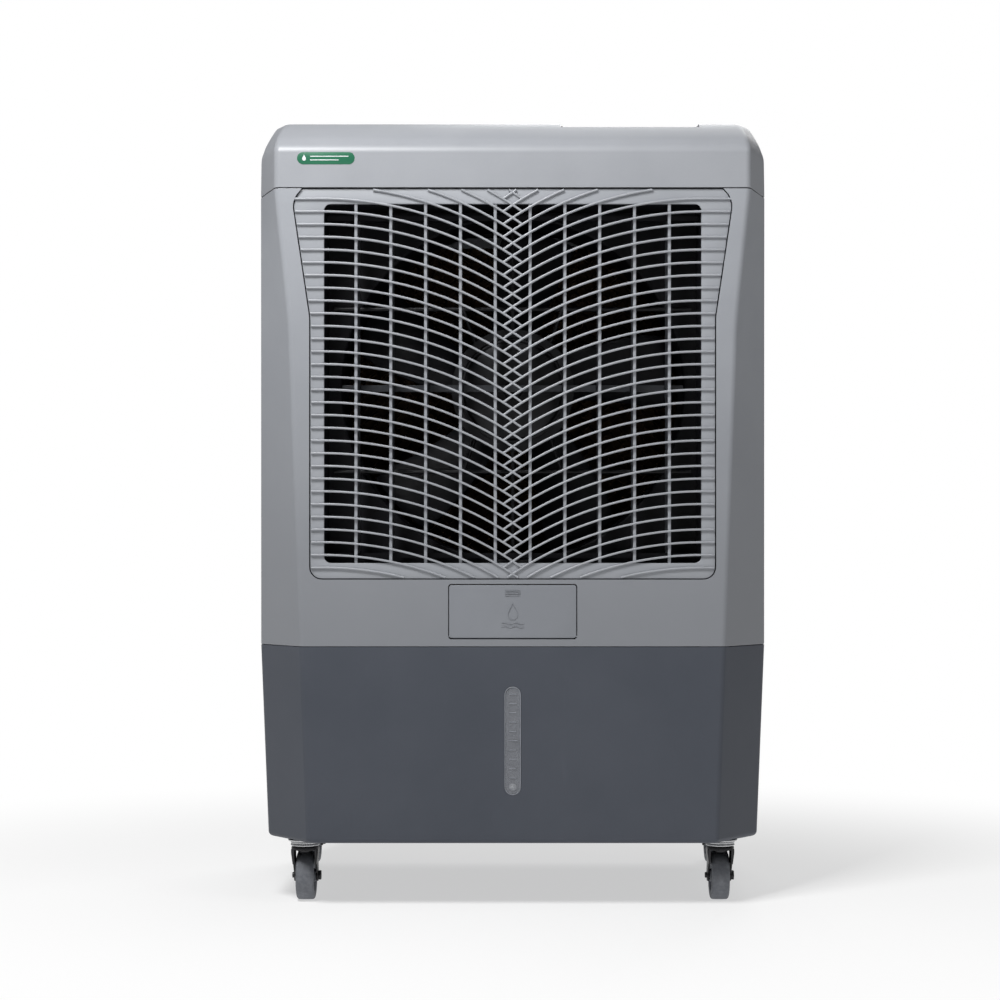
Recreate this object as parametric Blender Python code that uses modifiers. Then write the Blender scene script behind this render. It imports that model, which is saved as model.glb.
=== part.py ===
"""Portable evaporative cooler on four casters, as separate closed solids.

Metres, +Z up. The grille faces -Y, and the origin is on the floor under the middle of the cooler.
"""

import math

import bmesh
import bpy
from mathutils import Matrix, Vector

# Overall size of the body
FRONT = -0.222
BACK = 0.208
HALF_WIDTH = 0.3145
CORNER_RUN = 0.073
SHELL = 0.0035
SEAM = 0.0007
FIT = 0.0004

# Heights of the three shells
TANK_FOOT = 0.078
TANK_TOP = 0.3170
LID_SEAM = 0.8750
LID_SHOULDER = 0.9250
LID_TOP = 0.9650

# Tank
TANK_WALL = 0.004
TANK_FOOT_HALF = 0.305
TANK_EDGE = 0.006

# Rear opening of the upper housing
REAR_OPENING_HALF = 0.2745
REBATE_HALF = 0.287
REBATE_DEPTH = 0.0105

# Grille panel: half width below the flare, and at its widest
PANEL_LOW = 0.4002
PANEL_HALF = 0.2462
PANEL_FLARE_FROM = 0.718
PANEL_WIDE_Z = 0.861
PANEL_WIDE_HALF = 0.2676
PANEL_TOP_HALF = 0.2572
OPENING_HALF = 0.2296
OPENING_LOW = 0.419
OPENING_HIGH = 0.856
OPENING_RADIUS = 0.0085

# Curved ribs: vertical copies of one arc, mirrored about the centre line
RIB_RADIUS = 0.419
RIB_APEX_X = -0.231
RIB_FIRST_Z = 0.8466
RIB_PITCH = 0.01547
RIB_ABOVE = 6
RIB_COUNT = 36
RIB_WIDTH = 0.0031
RIB_STEPS = 5

# Upright bars behind the ribs, and the vanes behind the bars
BAR_PITCH = 0.0424
BAR_COUNT = 10
BAR_WIDTH = 0.005
BAR_FRONT = FRONT + 0.0043
BAR_BACK = FRONT + 0.0103

DUCT_FRONT = FRONT + 0.0108
DUCT_BACK = FRONT + 0.075
DUCT_WALL = 0.0025
RAIL_HEIGHT = 0.0062
UPPER_RAIL_Z = 0.8414
LOWER_RAIL_Z = 0.4250
RAIL_DEPTH = 0.012

VANE_Y = FRONT + 0.050
VANE_CHORD = 0.040
VANE_THICKNESS = 0.0018
VANE_SHAFT = 0.0018
VANE_SHAFT_HOLE = 0.0022
CRANK = 0.0175
CRANK_PIN = 0.0014
LINK_Z = 0.636
LINK_HEIGHT = 0.008
LINK_HALF = 0.212
LINK_FRONT = VANE_Y + 0.0135
LINK_BACK = VANE_Y + 0.0225
LINK_SLOT = 0.0046
NOTCH_HEIGHT = 0.018
DRIVEN_VANE = 6
DRIVE_SHAFT_TOP = 0.868

# Fan, its motor and its shroud
FAN_Z = 0.635
SHROUD_FRONT = FRONT + 0.090
SHROUD_BACK = FRONT + 0.195
SHROUD_RADIUS = 0.2137
SHROUD_WALL = 0.0025
FAN_RADIUS = 0.2085
FAN_HUB = 0.045
FAN_FRONT = FRONT + 0.147
FAN_BACK = FRONT + 0.190
BLADES = 5
MOTOR_RADIUS = 0.066
MOTOR_FRONT = FRONT + 0.0775
MOTOR_BACK = FRONT + 0.1455
MOUNT_ROD_Z = 0.102

# Fill door and chute
DOOR_HALF = 0.0775
DOOR_LOW = 0.3277
DOOR_HIGH = 0.3927
DOOR_THICKNESS = 0.003
DOOR_AXIS_Y = FRONT + 0.0018
DOOR_AXIS_Z = 0.3296
DOOR_PIN = 0.0009
DOOR_PIN_HOLE = 0.0013
CHEEK_X = 0.069
CHEEK_RADIUS = 0.056
CHEEK_ANGLE = 48
CHUTE_HALF = 0.079
CHUTE_WALL = 0.0022

# Level window on the tank
WINDOW_LOW = 0.137
WINDOW_HIGH = 0.269
WINDOW_WIDTH = 0.020
WINDOW_DEPTH = 0.0022
FLOAT_BALL = 0.0046
FLOAT_BALL_Z = 0.1459

# Pad, its frame and the water parts
PAD_FRAME_HALF = 0.2685
PAD_FRAME_LOW = 0.3225
PAD_FRAME_HIGH = 0.8660
PAD_FRAME_FRONT = 0.134
PAD_FRAME_BACK = 0.1975
PAD_FRAME_WALL = 0.003
PUMP_X = 0.215
PUMP_Y = 0.060
HOSE_RADIUS = 0.0055
INLET_X = -0.150
INLET_Z = 0.285
DRAIN_X = 0.060
DRAIN_Z = 0.106

# Controls
PANEL_X0 = 0.059
PANEL_X1 = 0.231
CONTROLS_FRONT = FRONT + 0.045
CONTROLS_BACK = FRONT + 0.200
CONTROLS_TOP = 0.9570
CONTROLS_THICK = 0.0032
CONTROLS_WALL = 0.0025
KNOB_Y = FRONT + 0.168
KNOB_FOOT = 0.9576
KNOB_RADIUS = 0.019
KNOBS = {"speed_knob": 0.091, "pump_knob": 0.145, "swing_knob": 0.199}

# Casters
CASTER_FRONT_X = 0.257
CASTER_REAR_X = 0.280
CASTER_FRONT_Y = FRONT + 0.050
CASTER_REAR_Y = FRONT + 0.375
TRAIL = 0.018
WHEEL_RADIUS = 0.030
WHEEL_HALF = 0.011
AXLE_RADIUS = 0.0035
RACE_RADIUS = 0.017

FINISHES = {
    "shell_grey": ((0.365, 0.380, 0.410), 0.42, 0.0),
    "tank_slate": ((0.085, 0.095, 0.118), 0.48, 0.0),
    "window_clear": ((0.150, 0.165, 0.190), 0.25, 0.0),
    "black_plastic": ((0.012, 0.012, 0.014), 0.50, 0.0),
    "white_plastic": ((0.620, 0.630, 0.640), 0.40, 0.0),
    "zinc": ((0.600, 0.600, 0.610), 0.25, 1.0),
    "black_steel": ((0.020, 0.021, 0.024), 0.40, 0.6),
    "tyre_grey": ((0.130, 0.135, 0.150), 0.60, 0.0),
    "pad_brown": ((0.270, 0.150, 0.065), 0.90, 0.0),
    "hose_clear": ((0.400, 0.430, 0.430), 0.30, 0.0),
}


def clear_scene():
    """Removes whatever the scene starts with."""
    for item in list(bpy.data.objects):
        bpy.data.objects.remove(item, do_unlink=True)


def new_collection(name):
    """Adds a collection to the scene."""
    group = bpy.data.collections.new(name)
    bpy.context.scene.collection.children.link(group)
    return group


clear_scene()
PARTS = new_collection("evaporative_cooler")
CUTTERS = new_collection("cutters")


def finish_material(name, finish):
    """Makes one Principled material for one part."""
    colour, roughness, metallic = FINISHES[finish]
    made = bpy.data.materials.new(name)
    made.use_nodes = True
    shader = made.node_tree.nodes["Principled BSDF"]
    shader.inputs["Base Color"].default_value = (*colour, 1.0)
    shader.inputs["Roughness"].default_value = roughness
    shader.inputs["Metallic"].default_value = metallic
    made.diffuse_color = (*colour, 1.0)
    return made


def keep(item, name, finish, origin=None):
    """Names a part, gives it its material and puts its origin where it is wanted."""
    item.name = name
    item.data.name = name
    item.data.materials.clear()
    item.data.materials.append(finish_material(name, finish))
    if origin is not None:
        shift = Vector(origin) - item.location
        item.data.transform(Matrix.Translation(-(item.matrix_basis.to_3x3().inverted() @ shift)))
        item.location = origin
    item.data.shade_smooth()
    item.data.set_sharp_from_angle(angle=math.radians(35))
    for group in list(item.users_collection):
        group.objects.unlink(item)
    PARTS.objects.link(item)
    return item


def as_cutter(item):
    """Hides a shape that only cuts or joins another."""
    item.hide_render = True
    item.display_type = "WIRE"
    for group in list(item.users_collection):
        group.objects.unlink(item)
    CUTTERS.objects.link(item)
    return item


def combine(item, others, operation):
    """Adds one Boolean to a part for each of the other shapes."""
    for other in others:
        as_cutter(other)
        step = item.modifiers.new(operation.lower(), "BOOLEAN")
        step.operation = operation
        step.object = other
        step.solver = "EXACT"
    return item


def joined(item, *others):
    """The part with other shapes fused to it."""
    return combine(item, others, "UNION")


def cut(item, *others):
    """The part with other shapes taken away."""
    return combine(item, others, "DIFFERENCE")


def object_from(data):
    """Links a new object that holds a mesh or a curve."""
    item = bpy.data.objects.new(data.name, data)
    bpy.context.scene.collection.objects.link(item)
    return item


def baked(item):
    """A plain mesh object with the part's modifiers applied and its corners welded."""
    bpy.context.view_layer.update()
    graph = bpy.context.evaluated_depsgraph_get()
    mesh = bpy.data.meshes.new_from_object(item.evaluated_get(graph), depsgraph=graph)
    mesh.transform(item.matrix_world)
    work = bmesh.new()
    work.from_mesh(mesh)
    bmesh.ops.remove_doubles(work, verts=work.verts, dist=0.000005)
    bmesh.ops.recalc_face_normals(work, faces=work.faces)
    work.to_mesh(mesh)
    work.free()
    bpy.data.objects.remove(item, do_unlink=True)
    return object_from(mesh)


# The curve's own X, Y and Z in the world, for a slab that is thick along each axis
SLAB_FRAMES = {
    "x": Matrix(((0, 0, 1), (1, 0, 0), (0, 1, 0))).to_4x4(),
    "y": Matrix(((1, 0, 0), (0, 0, -1), (0, 1, 0))).to_4x4(),
    "z": Matrix.Identity(4),
}


def slab(loops, axis, low, high):
    """A flat outline with holes, given thickness from low to high along an axis."""
    curve = bpy.data.curves.new("slab", "CURVE")
    curve.dimensions = "2D"
    curve.fill_mode = "BOTH"
    curve.extrude = (high - low) / 2
    for loop in loops:
        spline = curve.splines.new("POLY")
        spline.points.add(len(loop) - 1)
        for point, (across, up) in zip(spline.points, loop):
            point.co = (across, up, 0, 1)
        spline.use_cyclic_u = True
    item = object_from(curve)
    item.matrix_world = SLAB_FRAMES[axis]
    middle = (low + high) / 2
    solid = baked(item)
    shift = {"x": (middle, 0, 0), "y": (0, middle, 0), "z": (0, 0, middle)}[axis]
    solid.data.transform(Matrix.Translation(shift))
    return solid


def box(x0, x1, y0, y1, z0, z1):
    """A plain box between two corners."""
    bpy.ops.mesh.primitive_cube_add(size=1)
    item = bpy.context.object
    item.data.transform(Matrix.Diagonal((x1 - x0, y1 - y0, z1 - z0, 1)))
    item.data.transform(Matrix.Translation(((x0 + x1) / 2, (y0 + y1) / 2, (z0 + z1) / 2)))
    return item


TURN_AXIS = {"x": (0, math.pi / 2, 0), "y": (-math.pi / 2, 0, 0), "z": (0, 0, 0)}


def turned(profile, centre, axis="z", steps=24, ring=False):
    """A profile of (radius, height) points turned about an axis through centre."""
    mesh = bpy.data.meshes.new("turned")
    edges = [(i, i + 1) for i in range(len(profile) - 1)]
    if ring:
        edges.append((len(profile) - 1, 0))
    mesh.from_pydata([(radius, 0, height) for radius, height in profile], edges, [])
    item = object_from(mesh)
    item.location = centre
    item.rotation_euler = TURN_AXIS[axis]
    screw = item.modifiers.new("turn", "SCREW")
    screw.steps = steps
    screw.render_steps = steps
    screw.use_merge_vertices = True
    screw.merge_threshold = 0.00001
    return item


def rod(start, end, radius, sides=12):
    """A round bar between two points."""
    start, end = Vector(start), Vector(end)
    run = end - start
    bpy.ops.mesh.primitive_cylinder_add(vertices=sides, radius=radius, depth=run.length)
    item = bpy.context.object
    turn = Vector((0, 0, 1)).rotation_difference(run).to_matrix().to_4x4()
    item.data.transform(Matrix.Translation((start + end) / 2) @ turn)
    return item


def circle(x, y, radius, sides=12, phase=0.0):
    """A closed loop of points round a centre, turned by the phase angle."""
    angles = [phase + 2 * math.pi * i / sides for i in range(sides)]
    return [(x + radius * math.cos(a), y + radius * math.sin(a)) for a in angles]


def rectangle(x0, x1, y0, y1):
    """A closed loop with four corners."""
    return [(x0, y0), (x1, y0), (x1, y1), (x0, y1)]


def rounded(corners, closed=True):
    """Rounds the corners (x, y, radius, steps) of an outline and returns its points."""
    count = len(corners)
    points = []
    for index, (x, y, radius, steps) in enumerate(corners):
        if radius == 0 or (not closed and index in (0, count - 1)):
            points.append((x, y))
            continue
        corner = Vector((x, y))
        before = (Vector(corners[index - 1][:2]) - corner).normalized()
        after = (Vector(corners[(index + 1) % count][:2]) - corner).normalized()
        half = before.angle(after) / 2
        centre = corner + (before + after).normalized() * radius / math.sin(half)
        first = corner + before * radius / math.tan(half) - centre
        last = corner + after * radius / math.tan(half) - centre
        sweep = first.angle_signed(last)
        for step in range(steps + 1):
            spoke = first.copy()
            spoke.rotate(Matrix.Rotation(-sweep * step / steps, 2))
            points.append(tuple(centre + spoke))
    return points


def stadium(x, low, high, width, steps=6):
    """An upright slot outline with round ends."""
    half = width / 2
    points = []
    for step in range(steps + 1):
        angle = math.pi * step / steps
        points.append((x + half * math.cos(angle), high - half + half * math.sin(angle)))
    for step in range(steps + 1):
        angle = math.pi + math.pi * step / steps
        points.append((x + half * math.cos(angle), low + half + half * math.sin(angle)))
    return points


def loft(rings, closed=True, cap_low=False, cap_high=False):
    """Skins rings of points that run the same way round and have the same count."""
    work = bmesh.new()
    rows = [[work.verts.new(point) for point in ring] for ring in rings]
    count = len(rows[0])
    for low, high in zip(rows, rows[1:]):
        for i in range(count if closed else count - 1):
            j = (i + 1) % count
            work.faces.new((low[i], low[j], high[j], high[i]))
    if cap_low:
        work.faces.new(list(reversed(rows[0])))
    if cap_high:
        work.faces.new(rows[-1])
    mesh = bpy.data.meshes.new("loft")
    work.to_mesh(mesh)
    work.free()
    return object_from(mesh)


def thicken(item, thickness):
    """Gives a skin its wall, inwards."""
    wall = item.modifiers.new("wall", "SOLIDIFY")
    wall.thickness = thickness
    wall.offset = -1
    wall.use_even_offset = True
    return item


def front_half(z):
    """Half width of the flat front face: narrow at the foot, flared beside the grille's top."""
    flare = min(max((z - 0.70) / 0.17, 0), 1)
    return 0.249 + 0.036 * (z - TANK_FOOT) + 0.0114 * flare


def body_ring(z, front, half, side, corner_end, back):
    """A closed plan outline: flat front, slanted corners, flat sides and rounded rear corners."""
    corners = [
        (-half, front, 0.006, 2),
        (half, front, 0.006, 2),
        (side, corner_end, 0.012, 2),
        (side, back, 0.012, 3),
        (-side, back, 0.012, 3),
        (-side, corner_end, 0.012, 2),
    ]
    return [(x, y, z) for x, y in rounded(corners)]


def tank_ring(z, inset=0.0):
    """The tank's plan outline at a height."""
    draft = (z - TANK_FOOT) / (TANK_TOP - TANK_FOOT)
    side = TANK_FOOT_HALF + (HALF_WIDTH - TANK_FOOT_HALF) * draft - inset
    half = front_half(z) - inset * 0.7
    return body_ring(z, FRONT + inset, half, side, FRONT + CORNER_RUN + inset * 0.3, BACK - inset)


def make_tank():
    """Open basin with a rounded foot, and holes for the window, the inlet and the drain."""
    foot = [
        tank_ring(TANK_FOOT + TANK_EDGE * (1 - math.cos(angle)), TANK_EDGE * (1 - math.sin(angle)))
        for angle in (0, math.radians(30), math.radians(60), math.radians(90))
    ]
    skin = loft(foot + [tank_ring(TANK_TOP)], cap_low=True)
    thicken(skin, TANK_WALL)
    face = stadium(0, WINDOW_LOW - FIT, WINDOW_HIGH + FIT, WINDOW_WIDTH + 2 * FIT)
    recess = slab([face], "y", FRONT - 0.002, FRONT + WINDOW_DEPTH + FIT)
    through = stadium(0, WINDOW_LOW + 0.003, WINDOW_HIGH - 0.003, WINDOW_WIDTH - 0.006)
    slot = slab([through], "y", FRONT - 0.002, FRONT + TANK_WALL + 0.002)
    inlet = rod((INLET_X, BACK - 0.01, INLET_Z), (INLET_X, BACK + 0.01, INLET_Z), 0.0084, 16)
    drain = rod((DRAIN_X, BACK - 0.01, DRAIN_Z), (DRAIN_X, BACK + 0.01, DRAIN_Z), 0.0112, 16)
    keep(cut(skin, recess, slot, inlet, drain), "tank", "tank_slate")


def housing_ring(z):
    """The upper housing's plan outline, open at the back between its two rebated flanges."""
    half = front_half(z)
    left = [
        (-REAR_OPENING_HALF, BACK - REBATE_DEPTH, 0, 0),
        (-REBATE_HALF, BACK - REBATE_DEPTH, 0, 0),
        (-REBATE_HALF, BACK, 0, 0),
        (-HALF_WIDTH, BACK, 0.012, 3),
        (-HALF_WIDTH, FRONT + CORNER_RUN, 0.012, 2),
        (-half, FRONT, 0.006, 2),
    ]
    right = [(-x, y, radius, steps) for x, y, radius, steps in reversed(left)]
    return [(x, y, z) for x, y in rounded(left + right, closed=False)]


def panel_outline(grow=0.0, top=LID_SEAM):
    """The grille panel's outline: straight sides, a flare, and cut top corners."""
    slope = (PANEL_WIDE_HALF - PANEL_TOP_HALF) / (LID_SEAM - PANEL_WIDE_Z)
    top_half = PANEL_TOP_HALF - slope * (top - LID_SEAM)
    right = [
        (PANEL_HALF + grow, PANEL_LOW - grow, 0.014 + grow, 4),
        (PANEL_HALF + grow, PANEL_FLARE_FROM, 0.060, 3),
        (PANEL_WIDE_HALF + grow, PANEL_WIDE_Z, 0.002, 1),
        (top_half + grow, top, 0, 0),
    ]
    left = [(-x, z, radius, steps) for x, z, radius, steps in reversed(right)]
    return rounded(right + left)


def make_upper_housing():
    """Shell round the fan, with the notch for the grille and the opening for the fill door."""
    levels = (TANK_TOP + SEAM, 0.70, LID_SEAM - SEAM)
    shell = thicken(loft([housing_ring(z) for z in levels], closed=False), SHELL)
    notch = slab([panel_outline(0.0012, LID_SEAM + 0.01)], "y", FRONT - 0.01, FRONT + 0.015)
    low, high, half = DOOR_LOW - 0.0013, DOOR_HIGH + 0.0010, DOOR_HALF + 0.0010
    corners = [(half, low), (half, high), (-half, high), (-half, low)]
    mouth = slab([rounded([(x, z, 0.004, 3) for x, z in corners])], "y", FRONT - 0.01, FRONT + 0.01)
    reach = half + 0.005
    bore = rod((-reach, DOOR_AXIS_Y, DOOR_AXIS_Z), (reach, DOOR_AXIS_Y, DOOR_AXIS_Z), DOOR_PIN_HOLE, 10)
    keep(cut(shell, notch, mouth, bore), "upper_housing", "shell_grey")


def lid_ring(z, front_inset, side_inset):
    """The lid's plan outline at a height, drawn in from the front and from the sides."""
    share = front_inset / 0.060
    half = front_half(LID_SEAM) - 0.009 * share
    corner = FRONT + CORNER_RUN + 0.012 * share
    side = HALF_WIDTH - side_inset
    return body_ring(z, FRONT + front_inset, half, side, corner, BACK - side_inset)


def make_top_cover():
    """Hollow lid with a sloped front and sides, and an opening for the control panel."""
    rings = [
        lid_ring(LID_SEAM + SEAM, 0.0, 0.0),
        lid_ring(LID_SHOULDER, 0.0, 0.0008),
        lid_ring(0.9400, 0.016, 0.0065),
        lid_ring(0.9530, 0.036, 0.0130),
        lid_ring(0.9620, 0.054, 0.0185),
        lid_ring(LID_TOP, 0.063, 0.0230),
    ]
    skin = thicken(loft(rings, cap_high=True), 0.003)
    window = box(PANEL_X0, PANEL_X1, CONTROLS_FRONT, CONTROLS_BACK, 0.9500, LID_TOP + 0.01)
    keep(cut(skin, window), "top_cover", "shell_grey")


def make_controls():
    """Control panel, a tray sunk into the lid, with three turning knobs."""
    x0, x1, y0, y1 = PANEL_X0 + FIT, PANEL_X1 - FIT, CONTROLS_FRONT + FIT, CONTROLS_BACK - FIT
    holes = [circle(x, KNOB_Y, 0.0042, 12, turn) for turn, x in enumerate(KNOBS.values())]
    floor = slab([rectangle(x0, x1, y0, y1)] + holes, "z", CONTROLS_TOP - CONTROLS_THICK, CONTROLS_TOP)
    wall, start = CONTROLS_WALL, FRONT + 0.066
    rim = [
        (x0, start), (x0 + wall, start), (x0 + wall, y1 - wall), (x1 - wall, y1 - wall),
        (x1 - wall, start), (x1, start), (x1, y1), (x0, y1),
    ]
    walls = [slab([rim], "z", CONTROLS_TOP - 0.001, LID_TOP - 0.0004)]
    low, high = CONTROLS_TOP - 0.001, CONTROLS_TOP + 0.003
    for near in (x0, x1 - wall):
        walls.append(box(near, near + wall, start - 0.015, start + 0.001, low, high))
    keep(joined(floor, *walls), "control_panel", "black_plastic")
    for name, x in KNOBS.items():
        profile = [
            (0.0, 0.0150),
            (KNOB_RADIUS - 0.0030, 0.0150),
            (KNOB_RADIUS - 0.0010, 0.0135),
            (KNOB_RADIUS, 0.0),
            (0.0036, 0.0),
            (0.0036, -0.0100),
            (0.0, -0.0100),
        ]
        body = turned(profile, (x, KNOB_Y, KNOB_FOOT), steps=24)
        low, high = KNOB_FOOT + 0.010, KNOB_FOOT + 0.019
        grip = box(x - 0.0035, x + 0.0035, KNOB_Y - 0.0165, KNOB_Y + 0.0165, low, high)
        keep(joined(body, grip), name, "black_plastic")


def rib_drop(x):
    """How far a left-hand rib has come down at x from its highest point."""
    return RIB_RADIUS - math.sqrt(RIB_RADIUS ** 2 - (x - RIB_APEX_X) ** 2)


def rib_half(x):
    """Half the rib's height at x, which grows with the rib's slope."""
    slope = (x - RIB_APEX_X) / math.sqrt(RIB_RADIUS ** 2 - (x - RIB_APEX_X) ** 2)
    return RIB_WIDTH / 2 * math.hypot(1, slope)


def rib_z(index, x):
    """Height of a left-hand rib's centre line at x."""
    return RIB_FIRST_Z - RIB_PITCH * index - rib_drop(x)


def between_ribs(index):
    """The two outlines left open between one rib and the next: the strip and the small diamond."""
    half = rib_half(0)
    slope = -RIB_APEX_X / math.sqrt(RIB_RADIUS ** 2 - RIB_APEX_X ** 2)
    crossing = rib_z(index, 0)
    tip = (-half / slope, crossing)
    join_x = -RIB_PITCH / (2 * slope)
    join = (join_x, rib_z(index + 1, join_x) + rib_half(join_x))
    left = -OPENING_HALF - 0.01
    upper = [left + (tip[0] - left) * i / RIB_STEPS for i in range(RIB_STEPS)]
    lower = [left + (join_x - left) * i / RIB_STEPS for i in range(RIB_STEPS)]
    strip = [(x, rib_z(index, x) - rib_half(x)) for x in upper] + [tip, join]
    strip += [(x, rib_z(index + 1, x) + rib_half(x)) for x in reversed(lower)]
    reach = (RIB_PITCH - 2 * half) / (2 * slope)
    middle = crossing - RIB_PITCH / 2
    lowest = crossing - RIB_PITCH + half
    diamond = [(0, crossing - half), (-reach, middle), (0, lowest), (reach, middle)]
    return strip, diamond


def clipped(outline, region):
    """The part of an outline inside a convex region that runs anticlockwise."""
    for start, end in zip(region, region[1:] + region[:1]):
        edge = (end[0] - start[0], end[1] - start[1])

        def side(point):
            return edge[0] * (point[1] - start[1]) - edge[1] * (point[0] - start[0])

        kept = []
        for here, there in zip(outline, outline[1:] + outline[:1]):
            a, b = side(here), side(there)
            if a >= 0:
                kept.append(here)
            if (a >= 0) != (b >= 0):
                share = a / (a - b)
                across = here[0] + share * (there[0] - here[0])
                kept.append((across, here[1] + share * (there[1] - here[1])))
        outline = kept
        if not outline:
            return []
    return outline


def area(outline):
    """The area inside a closed outline."""
    pairs = zip(outline, outline[1:] + outline[:1])
    return abs(sum(a[0] * b[1] - b[0] * a[1] for a, b in pairs)) / 2


def grille_holes():
    """Every opening between the ribs that lies inside the grille's rounded opening."""
    region = rounded([
        (-OPENING_HALF, OPENING_LOW, OPENING_RADIUS, 3),
        (OPENING_HALF, OPENING_LOW, OPENING_RADIUS, 3),
        (OPENING_HALF, OPENING_HIGH, OPENING_RADIUS, 3),
        (-OPENING_HALF, OPENING_HIGH, OPENING_RADIUS, 3),
    ])
    holes = []
    for index in range(-RIB_ABOVE, RIB_COUNT - RIB_ABOVE):
        strip, diamond = between_ribs(index)
        mirrored = [(-x, z) for x, z in reversed(strip)]
        for outline in (strip, mirrored, diamond):
            inside = clipped(outline, region)
            if len(inside) > 2 and area(inside) > 0.000012:
                holes.append(inside)
    return holes


def bar_positions():
    """Where the upright bars stand, and where the vanes turn behind them."""
    return [(i - (BAR_COUNT - 1) / 2) * BAR_PITCH for i in range(BAR_COUNT)]


def opening_rectangle(grow):
    """The grille's opening as a plain rectangle, grown on every side."""
    half = OPENING_HALF + grow
    return rectangle(-half, half, OPENING_LOW - grow, OPENING_HIGH + grow)


def make_front_grille():
    """Inset panel with two crossing families of curved ribs, and the comb of bars behind it."""
    outlines = [panel_outline(top=LID_SEAM - SEAM)] + grille_holes()
    keep(slab(outlines, "y", FRONT + 0.0005, FRONT + 0.0040), "front_grille", "shell_grey")
    sides = [x + side * BAR_WIDTH / 2 for x in bar_positions() for side in (-1, 1)]
    edges = [-OPENING_HALF] + sides + [OPENING_HALF]
    columns = [rectangle(x0, x1, OPENING_LOW, OPENING_HIGH) for x0, x1 in zip(edges[::2], edges[1::2])]
    keep(slab([opening_rectangle(0.005)] + columns, "y", BAR_FRONT, BAR_BACK), "grille_bars", "shell_grey")


def make_air_duct():
    """Box behind the grille, with an upper and a lower rail drilled for the vanes."""
    tube = slab([opening_rectangle(DUCT_WALL), opening_rectangle(0)], "y", DUCT_FRONT, DUCT_BACK)
    rails = []
    for low in (UPPER_RAIL_Z, LOWER_RAIL_Z):
        reach = OPENING_HALF + 0.001
        outline = rectangle(-reach, reach, VANE_Y - RAIL_DEPTH / 2, VANE_Y + RAIL_DEPTH / 2)
        holes = [circle(x, VANE_Y, VANE_SHAFT_HOLE, 8, turn) for turn, x in enumerate(bar_positions())]
        rails.append(slab([outline] + holes, "z", low, low + RAIL_HEIGHT))
    joined(tube, *rails)
    x = bar_positions()[DRIVEN_VANE - 1]
    low, high = OPENING_HIGH - 0.005, OPENING_HIGH + 0.01
    cut(tube, rod((x, VANE_Y, low), (x, VANE_Y, high), VANE_SHAFT_HOLE, 10))
    keep(tube, "air_duct", "black_plastic")


def vane_shape(shaft_top):
    """One upright vane with its shaft, its notch for the link bar and its crank pin."""
    low, high = LOWER_RAIL_Z + RAIL_HEIGHT + 0.0023, UPPER_RAIL_Z - 0.0022
    front, back, notch = -VANE_CHORD / 2, VANE_CHORD / 2, 0.012
    outline = [
        (front, low),
        (back, low),
        (back, LINK_Z - NOTCH_HEIGHT / 2),
        (notch, LINK_Z - NOTCH_HEIGHT / 2),
        (notch, LINK_Z + NOTCH_HEIGHT / 2),
        (back, LINK_Z + NOTCH_HEIGHT / 2),
        (back, high),
        (front, high),
    ]
    blade = slab([outline], "x", -VANE_THICKNESS / 2, VANE_THICKNESS / 2)
    shaft = rod((0, 0, LOWER_RAIL_Z + 0.0005), (0, 0, shaft_top), VANE_SHAFT, 8)
    reach = NOTCH_HEIGHT / 2 + 0.0015
    pin = rod((0, CRANK, LINK_Z - reach), (0, CRANK, LINK_Z + reach), CRANK_PIN, 6)
    return baked(joined(blade, shaft, pin))


def make_vanes():
    """Ten vanes that turn together, the link bar that joins them and the motor that drives them."""
    plain = vane_shape(UPPER_RAIL_Z + RAIL_HEIGHT + 0.001)
    driven = vane_shape(DRIVE_SHAFT_TOP)
    for number, x in enumerate(bar_positions(), start=1):
        source = driven if number == DRIVEN_VANE else plain
        vane = object_from(source.data.copy())
        vane.location = (x, VANE_Y, 0)
        keep(vane, f"vane_{number:02d}", "black_plastic")
    for source in (plain, driven):
        bpy.data.objects.remove(source, do_unlink=True)

    outline = [(-LINK_HALF, LINK_FRONT)]
    for x in bar_positions():
        deep = VANE_Y + CRANK + 0.0020
        outline += [(x - LINK_SLOT / 2, LINK_FRONT), (x - LINK_SLOT / 2, deep)]
        outline += [(x + LINK_SLOT / 2, deep), (x + LINK_SLOT / 2, LINK_FRONT)]
    outline += [(LINK_HALF, LINK_FRONT), (LINK_HALF, LINK_BACK), (-LINK_HALF, LINK_BACK)]
    bar = slab([outline], "z", LINK_Z - LINK_HEIGHT / 2, LINK_Z + LINK_HEIGHT / 2)
    keep(bar, "vane_link_bar", "black_plastic")

    low = OPENING_HIGH + DUCT_WALL + 0.0006
    profile = [
        (0, 0.020), (0.022, 0.020), (0.024, 0.018), (0.024, 0), (0.0026, 0), (0.0026, 0.0125), (0, 0.0125),
    ]
    motor = turned(profile, (bar_positions()[DRIVEN_VANE - 1], VANE_Y, low), steps=20)
    keep(motor, "swing_motor", "white_plastic")


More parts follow.
